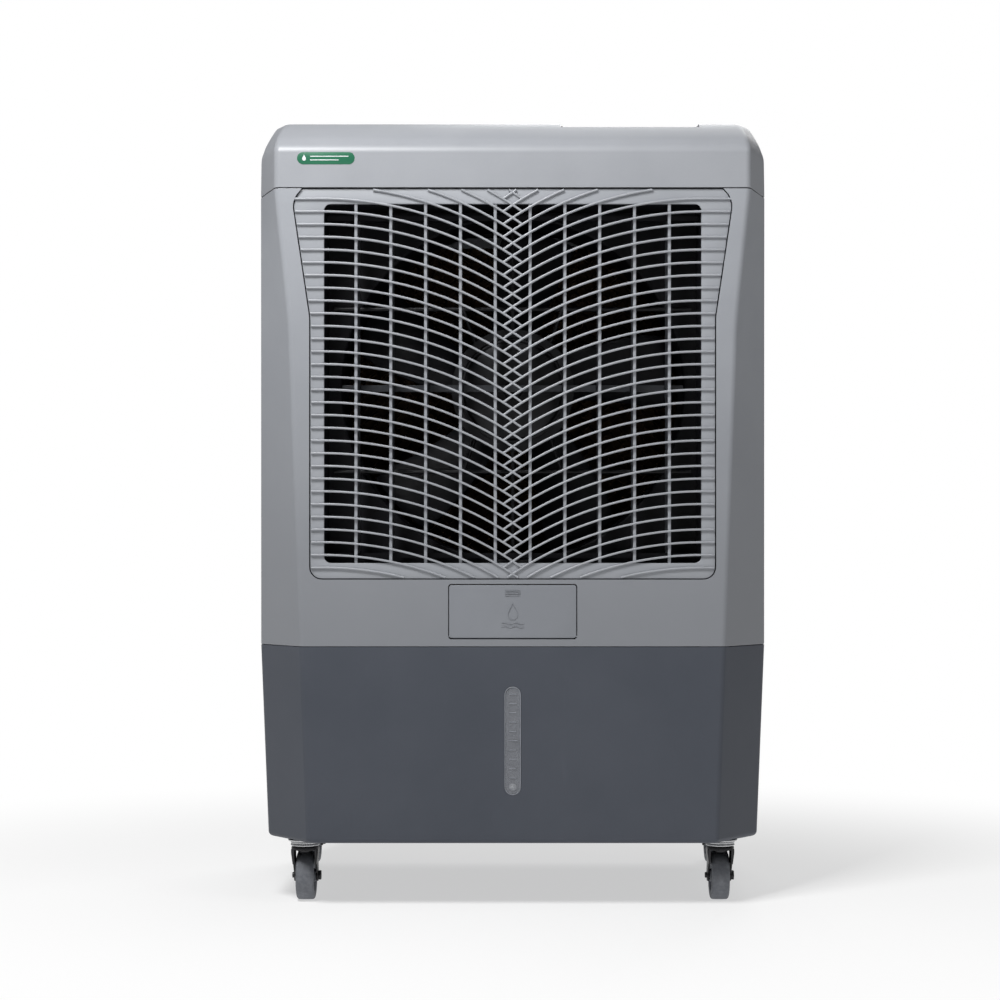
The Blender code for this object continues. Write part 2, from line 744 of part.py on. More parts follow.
def make_fan_unit():
    """Shroud with a round mouth, the motor on its mount, and the fan."""
    plate = rectangle(-0.3103, 0.3103, 0.3950, 0.8735)
    mouth = circle(0, FAN_Z, SHROUD_RADIUS + 0.001, 40)
    wall = slab([plate, mouth], "y", SHROUD_FRONT, SHROUD_FRONT + 0.003)
    depth = SHROUD_BACK - SHROUD_FRONT
    inner, outer = SHROUD_RADIUS, SHROUD_RADIUS + SHROUD_WALL
    ring = turned([(outer, depth), (outer, 0.0005), (inner, 0.0005), (inner, depth)],
                  (0, SHROUD_FRONT, FAN_Z), "y", 40, ring=True)
    keep(joined(wall, ring), "fan_shroud", "black_plastic")

    rod_y = SHROUD_FRONT - 0.0035
    bars = []
    for sign in (-1, 1):
        z = FAN_Z + sign * MOUNT_ROD_Z
        bars.append(rod((-0.224, rod_y, z), (0.224, rod_y, z), 0.003, 8))
        near, far = FAN_Z + sign * 0.070, FAN_Z + sign * 0.205
        bars.append(box(-0.0025, 0.0025, rod_y - 0.002, rod_y + 0.002, min(near, far), max(near, far)))
        for side in (-1, 1):
            start = (side * 0.046, rod_y, FAN_Z + sign * 0.056)
            bars.append(rod(start, (side * 0.062, rod_y, z), 0.0025, 8))
    collar = turned([(0.077, 0.0025), (0.077, -0.0025), (MOTOR_RADIUS + 0.0006, -0.0025),
                     (MOTOR_RADIUS + 0.0006, 0.0025)], (0, rod_y, FAN_Z), "y", 24, ring=True)
    keep(joined(collar, *bars), "motor_mount", "black_steel")

    length = MOTOR_BACK - MOTOR_FRONT
    profile = [
        (0, length + 0.012), (0.005, length + 0.012), (0.005, length),
        (MOTOR_RADIUS - 0.010, length), (MOTOR_RADIUS, length - 0.008),
        (MOTOR_RADIUS, 0.006), (MOTOR_RADIUS - 0.006, 0), (0, 0),
    ]
    keep(turned(profile, (0, MOTOR_FRONT, FAN_Z), "y", 24), "fan_motor", "black_steel")

    thick = FAN_BACK - FAN_FRONT
    hub_profile = [
        (0, thick), (FAN_HUB - 0.006, thick), (FAN_HUB, thick - 0.006), (FAN_HUB, 0),
        (0.0058, 0), (0.0058, 0.014), (0, 0.014),
    ]
    hub = turned(hub_profile, (0, FAN_FRONT, FAN_Z), "y", 30)
    blades = [fan_blade(2 * math.pi * i / BLADES) for i in range(BLADES)]
    keep(joined(hub, *blades), "fan", "black_plastic")


def fan_blade(turn):
    """One twisted, cambered blade, leaning back as it runs out."""
    rows = []
    for i in range(5):
        radius = 0.040 + (FAN_RADIUS - 0.040) * i / 4
        pitch = math.radians(42 - 20 * i / 4)
        chord = 0.062 + 0.050 * i / 4
        row = []
        for j in range(4):
            along = chord * (j / 3 - 0.5)
            camber = 0.006 * (1 - (2 * j / 3 - 1) ** 2)
            angle = turn + math.radians(10 * i / 4) + along * math.cos(pitch) / radius
            y = (FAN_FRONT + FAN_BACK) / 2 + along * math.sin(pitch) * 0.62 - camber + 0.002
            row.append((radius * math.sin(angle), y, FAN_Z + radius * math.cos(angle)))
        rows.append(row)
    blade = loft(rows, closed=False)
    wall = blade.modifiers.new("wall", "SOLIDIFY")
    wall.thickness = 0.002
    wall.offset = 0
    return blade


def make_pad():
    """Cooling pad in its frame, the trough that wets it, and the louvred rear panel."""
    half, low, high, wall = PAD_FRAME_HALF, PAD_FRAME_LOW, PAD_FRAME_HIGH, PAD_FRAME_WALL
    outer = rectangle(-half, half, low, high)
    inner = rectangle(-half + wall, half - wall, low + wall, high - wall)
    frame = slab([outer, inner], "y", PAD_FRAME_FRONT, PAD_FRAME_BACK)
    lip = 0.014
    mouth = rectangle(-half + lip, half - lip, low + lip, high - lip)
    edge = rectangle(-half + 0.001, half - 0.001, low + 0.001, high - 0.001)
    keep(joined(frame, slab([edge, mouth], "y", PAD_FRAME_FRONT + 0.0005, PAD_FRAME_FRONT + 0.0035)),
         "pad_frame", "shell_grey")
    gap = wall + 0.0006
    pad = box(-half + gap, half - gap, PAD_FRAME_FRONT + 0.0042, 0.1915, low + gap, high - gap)
    keep(pad, "cooling_pad", "pad_brown")

    trough = box(-0.255, 0.255, 0.140, 0.190, 0.8690, 0.8900)
    cut(trough, box(-0.253, 0.253, 0.142, 0.188, 0.8710, 0.9000))
    keep(trough, "water_distributor", "black_plastic")

    face = rectangle(-REBATE_HALF + 0.0008, REBATE_HALF - 0.0008, TANK_TOP + 0.0015, LID_SEAM - 0.0015)
    slots = []
    rows, columns = 20, 2
    pitch_z, pitch_x = 0.0258, 0.266
    for row in range(rows):
        z = (TANK_TOP + LID_SEAM) / 2 + (row - (rows - 1) / 2) * pitch_z
        for column in range(columns):
            x = (column - (columns - 1) / 2) * pitch_x
            slots.append(rectangle(x - 0.124, x + 0.124, z - 0.0088, z + 0.0088))
    rear = slab([face] + slots, "y", BACK - REBATE_DEPTH + FIT, BACK - 0.0004)
    keep(rear, "rear_panel", "shell_grey")

    for name, side in (("panel_latch_left", -1), ("panel_latch_right", 1)):
        x, z = side * 0.3010, 0.600
        boss = turned([(0, 0.0075), (0.0055, 0.0075), (0.0065, 0.0065), (0.0065, 0), (0, 0)],
                      (x, BACK + FIT, z), "y", 16)
        x0, x1 = sorted((x, x - side * 0.030))
        lever = box(x0, x1, BACK + FIT, BACK + 0.0040, z - 0.0060, z + 0.0060)
        keep(joined(boss, lever), name, "black_plastic")


def make_pump():
    """Submersible pump on the tank's floor, and the hose that rises to the trough."""
    floor = TANK_FOOT + TANK_WALL + 0.0006
    profile = [
        (0, 0.086), (0.0050, 0.086), (0.0050, 0.064), (0.022, 0.062), (0.027, 0.056),
        (0.027, 0.014), (0.031, 0.012), (0.031, 0), (0, 0),
    ]
    keep(turned(profile, (PUMP_X, PUMP_Y, floor), steps=20), "pump", "black_plastic")

    route = [
        (PUMP_X, PUMP_Y, floor + 0.0866), (PUMP_X, PUMP_Y, 0.200), (0.226, 0.064, 0.250),
        (0.262, 0.078, 0.310), (0.287, 0.088, 0.370), (0.292, 0.092, 0.450), (0.292, 0.092, 0.600),
        (0.292, 0.092, 0.760), (0.291, 0.096, 0.850), (0.284, 0.110, 0.893), (0.266, 0.138, 0.907),
        (0.243, 0.160, 0.907), (0.230, 0.165, 0.898), (0.226, 0.165, 0.882),
    ]
    curve = bpy.data.curves.new("hose", "CURVE")
    curve.dimensions = "3D"
    curve.bevel_depth = HOSE_RADIUS
    curve.bevel_resolution = 2
    curve.use_fill_caps = True
    spline = curve.splines.new("POLY")
    points = smooth_route([Vector(point) for point in route], 3)
    spline.points.add(len(points) - 1)
    for point, place in zip(spline.points, points):
        point.co = (*place, 1)
    keep(baked(object_from(curve)), "pump_hose", "hose_clear")


def smooth_route(points, steps):
    """Points on one smooth curve that passes through the given ones."""
    padded = [2 * points[0] - points[1]] + points + [2 * points[-1] - points[-2]]
    smooth = []
    for a, b, c, d in zip(padded, padded[1:], padded[2:], padded[3:]):
        for step in range(steps):
            t = step / steps
            smooth.append(0.5 * (2 * b + (c - a) * t + (2 * a - 5 * b + 4 * c - d) * t * t
                                 + (3 * b - a - 3 * c + d) * t ** 3))
    return smooth + [points[-1]]


def make_fill_door():
    """Tilting door with side cheeks and hinge pins, the chute behind it and its touch latch."""
    corners = reversed(rectangle(-DOOR_HALF, DOOR_HALF, DOOR_LOW, DOOR_HIGH))
    door = slab([rounded([(x, z, 0.0035, 3) for x, z in corners])], "y", FRONT, FRONT + DOOR_THICKNESS)
    reach = DOOR_HALF + 0.0045
    pin = rod((-reach, DOOR_AXIS_Y, DOOR_AXIS_Z), (reach, DOOR_AXIS_Y, DOOR_AXIS_Z), DOOR_PIN, 10)
    sector = [(DOOR_AXIS_Y, DOOR_AXIS_Z + 0.004)]
    for step in range(6):
        angle = math.radians(CHEEK_ANGLE * step / 5)
        across = DOOR_AXIS_Y + CHEEK_RADIUS * math.sin(angle)
        sector.append((across, DOOR_AXIS_Z + CHEEK_RADIUS * math.cos(angle)))
    cheeks = [slab([sector], "x", x - 0.001, x + 0.001) for x in (-CHEEK_X, CHEEK_X)]
    keep(joined(door, pin, *cheeks), "fill_door", "shell_grey", (0, DOOR_AXIS_Y, DOOR_AXIS_Z))

    front = FRONT + 0.0050
    outer = [
        (front, 0.3200), (front + 0.080, 0.2930), (front + 0.080, 0.3500), (front + 0.060, 0.3985),
        (front, 0.3985),
    ]
    floor = [
        (front - 0.01, 0.3258), (front + 0.10, 0.2886), (front + 0.10, 0.3963), (front - 0.01, 0.3963),
    ]
    chute = slab([outer], "x", -CHUTE_HALF, CHUTE_HALF)
    cut(chute, slab([floor], "x", -CHUTE_HALF + CHUTE_WALL, CHUTE_HALF - CHUTE_WALL))
    case_front = FRONT + 0.009
    joined(chute, box(-0.011, 0.011, case_front, case_front + 0.026, 0.3825, 0.3975))
    cut(chute, box(-0.0066, 0.0066, case_front - 0.002, case_front + 0.022, 0.3846, 0.3938))
    keep(chute, "fill_chute", "black_plastic")

    plunger = box(-0.0060, 0.0060, FRONT + DOOR_THICKNESS + 0.0006, case_front + 0.0180, 0.3852, 0.3932)
    keep(plunger, "touch_latch", "white_plastic", (0, FRONT + DOOR_THICKNESS + 0.0006, 0.3892))


def make_level_gauge():
    """Clear window on the tank, and the channel behind it that holds the float ball."""
    face = stadium(0, WINDOW_LOW, WINDOW_HIGH, WINDOW_WIDTH)
    keep(slab([face], "y", FRONT + 0.0001, FRONT + WINDOW_DEPTH), "level_window", "window_clear")
    back = FRONT + TANK_WALL + FIT
    outline = [
        (-0.0095, back), (-0.0095, back + 0.0115), (0.0095, back + 0.0115), (0.0095, back),
        (0.0060, back), (0.0060, back + 0.0092), (-0.0060, back + 0.0092), (-0.0060, back),
    ]
    keep(slab([outline], "z", WINDOW_LOW - 0.004, WINDOW_HIGH + 0.004), "level_guide", "black_plastic")
    ball_y = FRONT + WINDOW_DEPTH + 0.0006 + FLOAT_BALL
    place = (0, ball_y, FLOAT_BALL_Z)
    bpy.ops.mesh.primitive_uv_sphere_add(segments=12, ring_count=8, radius=FLOAT_BALL, location=place)
    keep(bpy.context.object, "level_float", "white_plastic")


def make_float_valve():
    """Hose inlet with its valve, and the float arm that closes it."""
    profile = [
        (0, 0.0390), (0.0082, 0.0390), (0.0082, 0.0302), (0.0130, 0.0302), (0.0130, 0.0254),
        (0.0078, 0.0254), (0.0078, 0), (0, 0),
    ]
    keep(turned(profile, (INLET_X, BACK - 0.0250, INLET_Z), "y", 20), "float_valve", "white_plastic")
    pivot = Vector((INLET_X, BACK - 0.0210, INLET_Z - 0.0120))
    barrel = rod(pivot - Vector((0.007, 0, 0)), pivot + Vector((0.007, 0, 0)), 0.003, 12)
    slope = math.radians(-35)
    end = pivot + Vector((0, -math.cos(slope), math.sin(slope))) * 0.080
    arm = rod(pivot, end, 0.0018, 8)
    bulb = rod(end - Vector((0.020, 0, 0)), end + Vector((0.020, 0, 0)), 0.017, 16)
    keep(joined(barrel, arm, bulb), "float_arm", "white_plastic", pivot)


def make_drain_and_gland():
    """Drain plug low on the tank's back, and the gland where the mains lead comes out."""
    profile = [
        (0, 0.0105), (0.0150, 0.0105), (0.0160, 0.0095), (0.0160, 0.0046), (0.0108, 0.0046),
        (0.0108, 0), (0, 0),
    ]
    plug = turned(profile, (DRAIN_X, BACK - 0.0042, DRAIN_Z), "y", 20)
    bar = box(-0.011, 0.011, BACK + 0.004, BACK + 0.0125, -0.0025, 0.0025)
    bar.data.transform(Matrix.Translation((DRAIN_X, 0, DRAIN_Z)))
    keep(joined(plug, bar), "drain_plug", "black_plastic")
    gland_profile = [
        (0, 0.0020), (0.0036, 0.0020), (0.0036, 0.0125), (0.0058, 0.0125), (0.0078, 0.0050),
        (0.0105, 0.0040), (0.0105, 0), (0, 0),
    ]
    keep(turned(gland_profile, (0.3010, BACK + FIT, 0.3600), "y", 16), "cable_gland", "black_plastic")


def fork_leg(low, high):
    """One side plate of a caster's fork, with its axle hole."""
    eye = [(TRAIL + 0.0075 * math.cos(a), WHEEL_RADIUS + 0.0075 * math.sin(a))
           for a in [math.radians(-200 + 37.5 * i) for i in range(7)]]
    outline = [(-0.012, 0.0660)] + eye + [(0.0165, 0.0660)]
    return slab([outline, circle(TRAIL, WHEEL_RADIUS, AXLE_RADIUS + 0.0003, 10)], "x", low, high)


def make_caster(name, x, y):
    """Swivel plate, fork, axle and wheel of one caster, with its wheel trailing to the back."""
    under = TANK_FOOT - 0.0003
    profile = [
        (0, 0.0086), (0.0210, 0.0086), (0.0210, 0.0062),
        (RACE_RADIUS, 0.0050), (RACE_RADIUS, 0.0012),
        (RACE_RADIUS - 0.003, 0), (0, 0),
    ]
    keep(turned(profile, (x, y, under - 0.0086), steps=16), f"{name}_plate", "zinc")

    top = turned([(0, 0.0686), (RACE_RADIUS - 0.001, 0.0686), (RACE_RADIUS, 0.0676), (RACE_RADIUS, 0.0645),
                  (0, 0.0645)], (0, 0, 0), steps=16)
    gap = WHEEL_HALF + 0.0015
    joined(top, fork_leg(-gap - 0.0025, -gap), fork_leg(gap, gap + 0.0025))
    fork = baked(top)
    fork.location = (x, y, 0)
    keep(fork, f"{name}_fork", "black_steel")

    reach = gap + 0.0025
    axle_profile = [
        (0, reach + 0.0035), (0.0055, reach + 0.0035),
        (0.0062, reach + 0.0004), (AXLE_RADIUS, reach + 0.0004),
        (AXLE_RADIUS, -reach - 0.0025), (0, -reach - 0.0025),
    ]
    keep(turned(axle_profile, (x, y + TRAIL, WHEEL_RADIUS), "x", 12), f"{name}_axle", "black_steel")

    tyre, hub = WHEEL_RADIUS, AXLE_RADIUS + 0.0004
    wheel_profile = [
        (tyre - 0.0025, WHEEL_HALF - 0.0005), (tyre, WHEEL_HALF - 0.0035), (tyre, -WHEEL_HALF + 0.0035),
        (tyre - 0.0025, -WHEEL_HALF + 0.0005), (tyre - 0.010, -WHEEL_HALF + 0.0015),
        (tyre - 0.014, -WHEEL_HALF + 0.003), (hub, -WHEEL_HALF), (hub, WHEEL_HALF),
        (tyre - 0.014, WHEEL_HALF - 0.003), (tyre - 0.010, WHEEL_HALF - 0.0015),
    ]
    wheel = turned(wheel_profile, (x, y + TRAIL, WHEEL_RADIUS), "x", 24, ring=True)
    keep(wheel, f"{name}_wheel", "tyre_grey")


def make_casters():
    """Two casters at the front and two at the back."""
    make_caster("front_left", -CASTER_FRONT_X, CASTER_FRONT_Y)
    make_caster("front_right", CASTER_FRONT_X, CASTER_FRONT_Y)
    make_caster("rear_left", -CASTER_REAR_X, CASTER_REAR_Y)
    make_caster("rear_right", CASTER_REAR_X, CASTER_REAR_Y)


make_tank()
make_upper_housing()
make_top_cover()
make_controls()
make_front_grille()
make_air_duct()
make_vanes()
make_fan_unit()
make_pad()
make_pump()
make_fill_door()
make_level_gauge()
make_float_valve()
make_drain_and_gland()
make_casters()
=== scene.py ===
"""Looks of a portable evaporative cooler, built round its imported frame.

Metres, +Z up, with the grille facing -Y. Each sub-assembly is a class that builds its pieces and
dresses them; each finish is a frozen dataclass that makes its own shader.
"""

import logging
import math
from dataclasses import dataclass
from enum import Enum
from functools import cache
from typing import Any, Sequence

import bmesh
import bpy
from mathutils import Matrix, Vector


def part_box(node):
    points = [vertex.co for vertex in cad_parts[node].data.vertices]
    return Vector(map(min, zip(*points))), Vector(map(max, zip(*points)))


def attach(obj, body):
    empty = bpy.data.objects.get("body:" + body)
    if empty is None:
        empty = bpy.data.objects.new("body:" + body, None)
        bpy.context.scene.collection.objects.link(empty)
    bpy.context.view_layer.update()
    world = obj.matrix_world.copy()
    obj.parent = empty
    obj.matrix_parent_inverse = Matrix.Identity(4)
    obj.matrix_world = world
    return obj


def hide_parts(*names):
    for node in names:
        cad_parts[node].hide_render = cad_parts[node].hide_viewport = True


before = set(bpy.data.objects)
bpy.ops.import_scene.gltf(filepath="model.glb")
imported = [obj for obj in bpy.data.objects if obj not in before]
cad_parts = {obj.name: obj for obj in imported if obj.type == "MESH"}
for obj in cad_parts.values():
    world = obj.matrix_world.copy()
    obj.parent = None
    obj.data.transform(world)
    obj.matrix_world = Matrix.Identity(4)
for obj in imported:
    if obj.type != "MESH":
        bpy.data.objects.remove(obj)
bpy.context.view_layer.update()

log = logging.getLogger("cooler")

Thing = bpy.types.Object
Point = tuple[float, float]
Place = tuple[float, float, float]
Corner = tuple[float, float, float, int]
Colour = tuple[float, float, float]


@dataclass(frozen=True)
class Room:
    """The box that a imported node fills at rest."""

    low: Vector
    high: Vector

    @classmethod
    def of(cls, node: str) -> "Room":
        """Reads a node's box from the frame.

        Args:
            node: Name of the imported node.

        Returns:
            The node's room.
        """
        return cls(*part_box(node))

    @property
    def middle(self) -> Vector:
        """The centre of the box."""
        return (self.low + self.high) / 2


TANK = Room.of("tank")
HOUSING = Room.of("upper_housing")
LID = Room.of("top_cover")
PANEL = Room.of("front_grille")
FRONT, BACK, SIDE = TANK.low.y, TANK.high.y, TANK.high.x
WELD = 0.000004
SHARP_EDGE = math.radians(32.0)
FASTENER_X = 0.3010


# ---------------------------------------------------------------------------------------------
# Shader graphs
# ---------------------------------------------------------------------------------------------


class Sock:
    """An output socket; arithmetic on it adds Math nodes to its graph."""

    def __init__(self, graph: "Graph", socket: bpy.types.NodeSocket) -> None:
        """Wraps one socket.

        Args:
            graph: The graph that owns the socket.
            socket: The output socket itself.
        """
        self.graph = graph
        self.socket = socket

    def math(self, operation: str, *values: Any) -> "Sock":
        """Adds one Math node.

        Args:
            operation: The node's operation.
            values: Its inputs, as numbers or sockets.

        Returns:
            The node's result.
        """
        return self.graph.node("ShaderNodeMath", {"operation": operation}, dict(enumerate(values)))

    def __add__(self, other: Any) -> "Sock":
        """Sum."""
        return self.math("ADD", self, other)

    def __sub__(self, other: Any) -> "Sock":
        """Difference."""
        return self.math("SUBTRACT", self, other)

    def __rsub__(self, other: Any) -> "Sock":
        """Reflected difference."""
        return self.math("SUBTRACT", other, self)

    def __mul__(self, other: Any) -> "Sock":
        """Product."""
        return self.math("MULTIPLY", self, other)

    def __truediv__(self, other: Any) -> "Sock":
        """Quotient."""
        return self.math("DIVIDE", self, other)

    def __pow__(self, other: Any) -> "Sock":
        """Power."""
        return self.math("POWER", self, other)

    __radd__ = __add__
    __rmul__ = __mul__

    def ramp(self, low: float, high: float) -> "Sock":
        """Smooth step.

        Args:
            low: Value that becomes 0.
            high: Value that becomes 1.

        Returns:
            The stepped value, clamped to 0..1.
        """
        settings = {"interpolation_type": "SMOOTHSTEP"}
        return self.graph.node("ShaderNodeMapRange", settings, {0: self, 1: low, 2: high})


class Graph:
    """The node tree of one material or world."""

    def __init__(self, owner: bpy.types.Material | bpy.types.World) -> None:
        """Empties the owner's node tree.

        Args:
            owner: The material or world to fill.
        """
        owner.use_nodes = True
        self.tree = owner.node_tree
        self.tree.nodes.clear()

    def node(
        self,
        kind: str,
        settings: dict[str, Any] | None = None,
        inputs: dict[str | int, Any] | None = None,
        out: str | int = 0,
    ) -> Sock | None:
        """Adds one node.

        Args:
            kind: The node's type.
            settings: Its own settings, set first.
            inputs: Values or sockets for its inputs, by name or number.
            out: Which output to return.

        Returns:
            The chosen output, or None where the node has none.
        """
        made = self.tree.nodes.new(kind)
        for key, value in (settings or {}).items():
            setattr(made, key, value)
        for key, value in (inputs or {}).items():
            if isinstance(value, Sock):
                self.tree.links.new(value.socket, made.inputs[key])
            else:
                made.inputs[key].default_value = value
        return Sock(self, made.outputs[out]) if len(made.outputs) else None

    def height(self, place: Sock) -> Sock:
        """The height of a place."""
        return self.node("ShaderNodeSeparateXYZ", None, {0: place}, "Z")

    def stretched(self, place: Sock, scale: Place) -> Sock:
        """A place scaled along each axis."""
        return self.node("ShaderNodeMapping", None, {"Vector": place, "Scale": scale})

    def noise(self, place: Sock, scale: float, detail: float, rough: float) -> Sock:
        """Adds a noise texture.

        Args:
            place: Coordinates in metres.
            scale: Features per metre.
            detail: Octaves.
            rough: Share that each finer octave keeps.

        Returns:
            The noise value, about 0..1.
        """
        values = {"Vector": place, "Scale": scale, "Detail": detail, "Roughness": rough}
        return self.node("ShaderNodeTexNoise", None, values)

    def blend(self, share: Any, first: Any, second: Any) -> Sock:
        """Mixes two colours.

        Args:
            share: How much of the second colour.
            first: Colour at 0, as three numbers or a socket.
            second: Colour at 1, as three numbers or a socket.

        Returns:
            The mixed colour.
        """
        ends = [end if isinstance(end, Sock) else (*end, 1.0) for end in (first, second)]
        return self.node("ShaderNodeMix", {"data_type": "RGBA"}, {0: share, 6: ends[0], 7: ends[1]}, 2)

    def bump(self, height: Sock, depth: float, strength: float) -> Sock:
        """Turns a height into a normal.

        Args:
            height: Height from 0 to 1.
            depth: What a height of 1 stands for, in metres.
            strength: Share of the effect.

        Returns:
            The bent normal.
        """
        values = {"Height": height, "Distance": depth, "Strength": strength}
        return self.node("ShaderNodeBump", None, values)


# ---------------------------------------------------------------------------------------------
# Finishes
# ---------------------------------------------------------------------------------------------


@dataclass(frozen=True)
class Surface:
    """What every finish has: its slot in the record, its two tones and its gloss."""

    slot: str
    dark: Colour
    light: Colour
    roughness: float = 0.45
    metallic: float = 0.0
    specular: float = 0.5

    def shade(self, graph: Graph, colour: Any, **values: Any) -> None:
        """Ends a graph in one Principled shader.

        Args:
            graph: The graph to end.
            colour: Base colour, as a socket or four numbers.
            values: Other inputs, with underscores for spaces.
        """
        inputs: dict[str, Any] = {
            "Base Color": colour,
            "Metallic": self.metallic,
            "Specular IOR Level": self.specular,
        }
        inputs |= {key.replace("_", " "): value for key, value in values.items()}
        shader = graph.node("ShaderNodeBsdfPrincipled", None, inputs)
        graph.node("ShaderNodeOutputMaterial", None, {"Surface": shader})

    def make(self, name: str) -> bpy.types.Material:
        """Makes the material.

        Args:
            name: The material's name.

        Returns:
            The new material.
        """
        material = bpy.data.materials.new(name)
        material.diffuse_color = (*self.light, 1.0)
        graph = Graph(material)
        self.fill(graph, graph.node("ShaderNodeTexCoord", out="Object"))
        return material

    def fill(self, graph: Graph, place: Sock) -> None:
        """Builds the finish's own nodes.

        Args:
            graph: The graph to fill.
            place: Coordinates in metres.
        """
        raise NotImplementedError


@dataclass(frozen=True)
class MouldedPlastic(Surface):
    """Injection-moulded plastic: an etched grain, cloudy flow marks, light scuffs and sink lines, and where
    asked a painted shade that darkens the colour towards the foot.
    """

    grain: float = 0.35
    grain_scale: float = 1400.0
    grain_depth: float = 0.00012
    cloud_scale: float = 7.0
    scuff: float = 0.35
    sink_pitch: float = 0.0
    sink_from: float = 0.0
    sink_width: float = 0.0035
    sink_depth: float = 0.9
    # The next four fields paint shade into the colour: from the height head down to the height foot it
    # darkens towards the dark tone scaled by the third field, by at most the share in the fourth.
    foot: float = 0.0
    head: float = 1.0
    painted_shade: float = 1.0
    painted_shade_share: float = 0.8
    cloud_range: Point = (0.25, 0.75)
    cloud_share: float = 0.62
    smear_run: Place = (1.0, 1.0, 0.16)
    smear_scale: float = 26.0
    smear_range: Point = (0.60, 0.86)

    def fill(self, graph: Graph, place: Sock) -> None:
        """Builds tone, gloss and grain.

        Args:
            graph: The graph to fill.
            place: Coordinates in metres.
        """
        clouds = graph.noise(place, self.cloud_scale, 5.0, 0.6)
        speckle = graph.noise(place, self.grain_scale * 0.5, 2.0, 0.6)
        smear = graph.noise(graph.stretched(place, self.smear_run), self.smear_scale, 6.0, 0.7)
        smear = smear.ramp(*self.smear_range) * self.scuff
        tone = clouds.ramp(*self.cloud_range) * self.cloud_share + speckle * (1.0 - self.cloud_share)
        colour = graph.blend(tone, self.dark, self.light)
        pale = tuple(min(1.0, part * 1.18 + 0.02) for part in self.light)
        colour = graph.blend(smear * 0.5, colour, pale)
        # Painted shade: the colour darkens down towards the foot, standing in for light that falls off lower
        # down.
        if self.painted_shade < 1.0:
            share = graph.height(place).ramp(self.head, self.foot) * self.painted_shade_share
            colour = graph.blend(share, colour, tuple(part * self.painted_shade for part in self.dark))
        gloss = self.roughness - 0.04 + clouds * 0.09 + smear * 0.10
        relief = graph.noise(place, self.grain_scale, 2.0, 0.55)
        if self.sink_pitch:
            rise = graph.height(place) - self.sink_from
            near = rise.math("PINGPONG", rise, self.sink_pitch / 2)
            relief = relief - (1.0 - near.ramp(0.0, self.sink_width)) * self.sink_depth
        normal = graph.bump(relief, self.grain_depth, self.grain)
        self.shade(graph, colour, Roughness=gloss, Normal=normal)


@dataclass(frozen=True)
class ClearPlastic(Surface):
    """Clouded clear plastic that shows what lies just behind it."""

    clearness: float = 0.55
    ior: float = 1.46

    def fill(self, graph: Graph, place: Sock) -> None:
        """Builds a slightly uneven, see-through surface.

        Args:
            graph: The graph to fill.
            place: Coordinates in metres.
        """
        clouds = graph.noise(place, 60.0, 4.0, 0.6)
        colour = graph.blend(clouds, self.dark, self.light)
        gloss = self.roughness + clouds * 0.10
        cover = 1.0 - self.clearness + (clouds - 0.5) * 0.1
        self.shade(graph, colour, Roughness=gloss, IOR=self.ior, Alpha=cover)


@dataclass(frozen=True)
class Steel(Surface):
    """Plated or painted steel with a fine grain and a few handling marks."""

    grain_scale: float = 900.0
    marks: float = 0.15

    def fill(self, graph: Graph, place: Sock) -> None:
        """Builds brushed tone and gloss.

        Args:
            graph: The graph to fill.
            place: Coordinates in metres.
        """
        lines = graph.noise(graph.stretched(place, (1.0, 1.0, 0.08)), self.grain_scale, 3.0, 0.7)
        blotch = graph.noise(place, 70.0, 4.0, 0.6)
        colour = graph.blend(lines * 0.5 + blotch * 0.5, self.dark, self.light)
        gloss = self.roughness + (lines - 0.5) * 0.12 + blotch.ramp(0.5, 0.8) * self.marks
        self.shade(graph, colour, Roughness=gloss, Normal=graph.bump(lines, 0.00008, 0.3))


@dataclass(frozen=True)
class Tread(Surface):
    """Solid thermoplastic rubber, dusty where it rolls."""

    def fill(self, graph: Graph, place: Sock) -> None:
        """Builds a matt, lightly soiled surface.

        Args:
            graph: The graph to fill.
            place: Coordinates in metres.
        """
        dust = graph.noise(place, 90.0, 6.0, 0.7).ramp(0.35, 0.75)
        colour = graph.blend(dust, self.dark, self.light)
        pores = graph.noise(place, 1800.0, 2.0, 0.6)
        gloss = self.roughness + dust * 0.12
        self.shade(graph, colour, Roughness=gloss, Normal=graph.bump(pores, 0.00015, 0.5))


@dataclass(frozen=True)
class PadPaper(Surface):
    """Resin-stiffened cellulose of a cooling pad, with fibres and damp blotches."""

    def fill(self, graph: Graph, place: Sock) -> None:
        """Builds fibrous paper.

        Args:
            graph: The graph to fill.
            place: Coordinates in metres.
        """
        blotch = graph.noise(place, 22.0, 5.0, 0.65)
        fibre = graph.noise(graph.stretched(place, (0.3, 1.0, 1.0)), 1500.0, 4.0, 0.7)
        colour = graph.blend(blotch * 0.6 + fibre * 0.4, self.dark, self.light)
        self.shade(graph, colour, Roughness=self.roughness, Normal=graph.bump(fibre, 0.0002, 0.6))


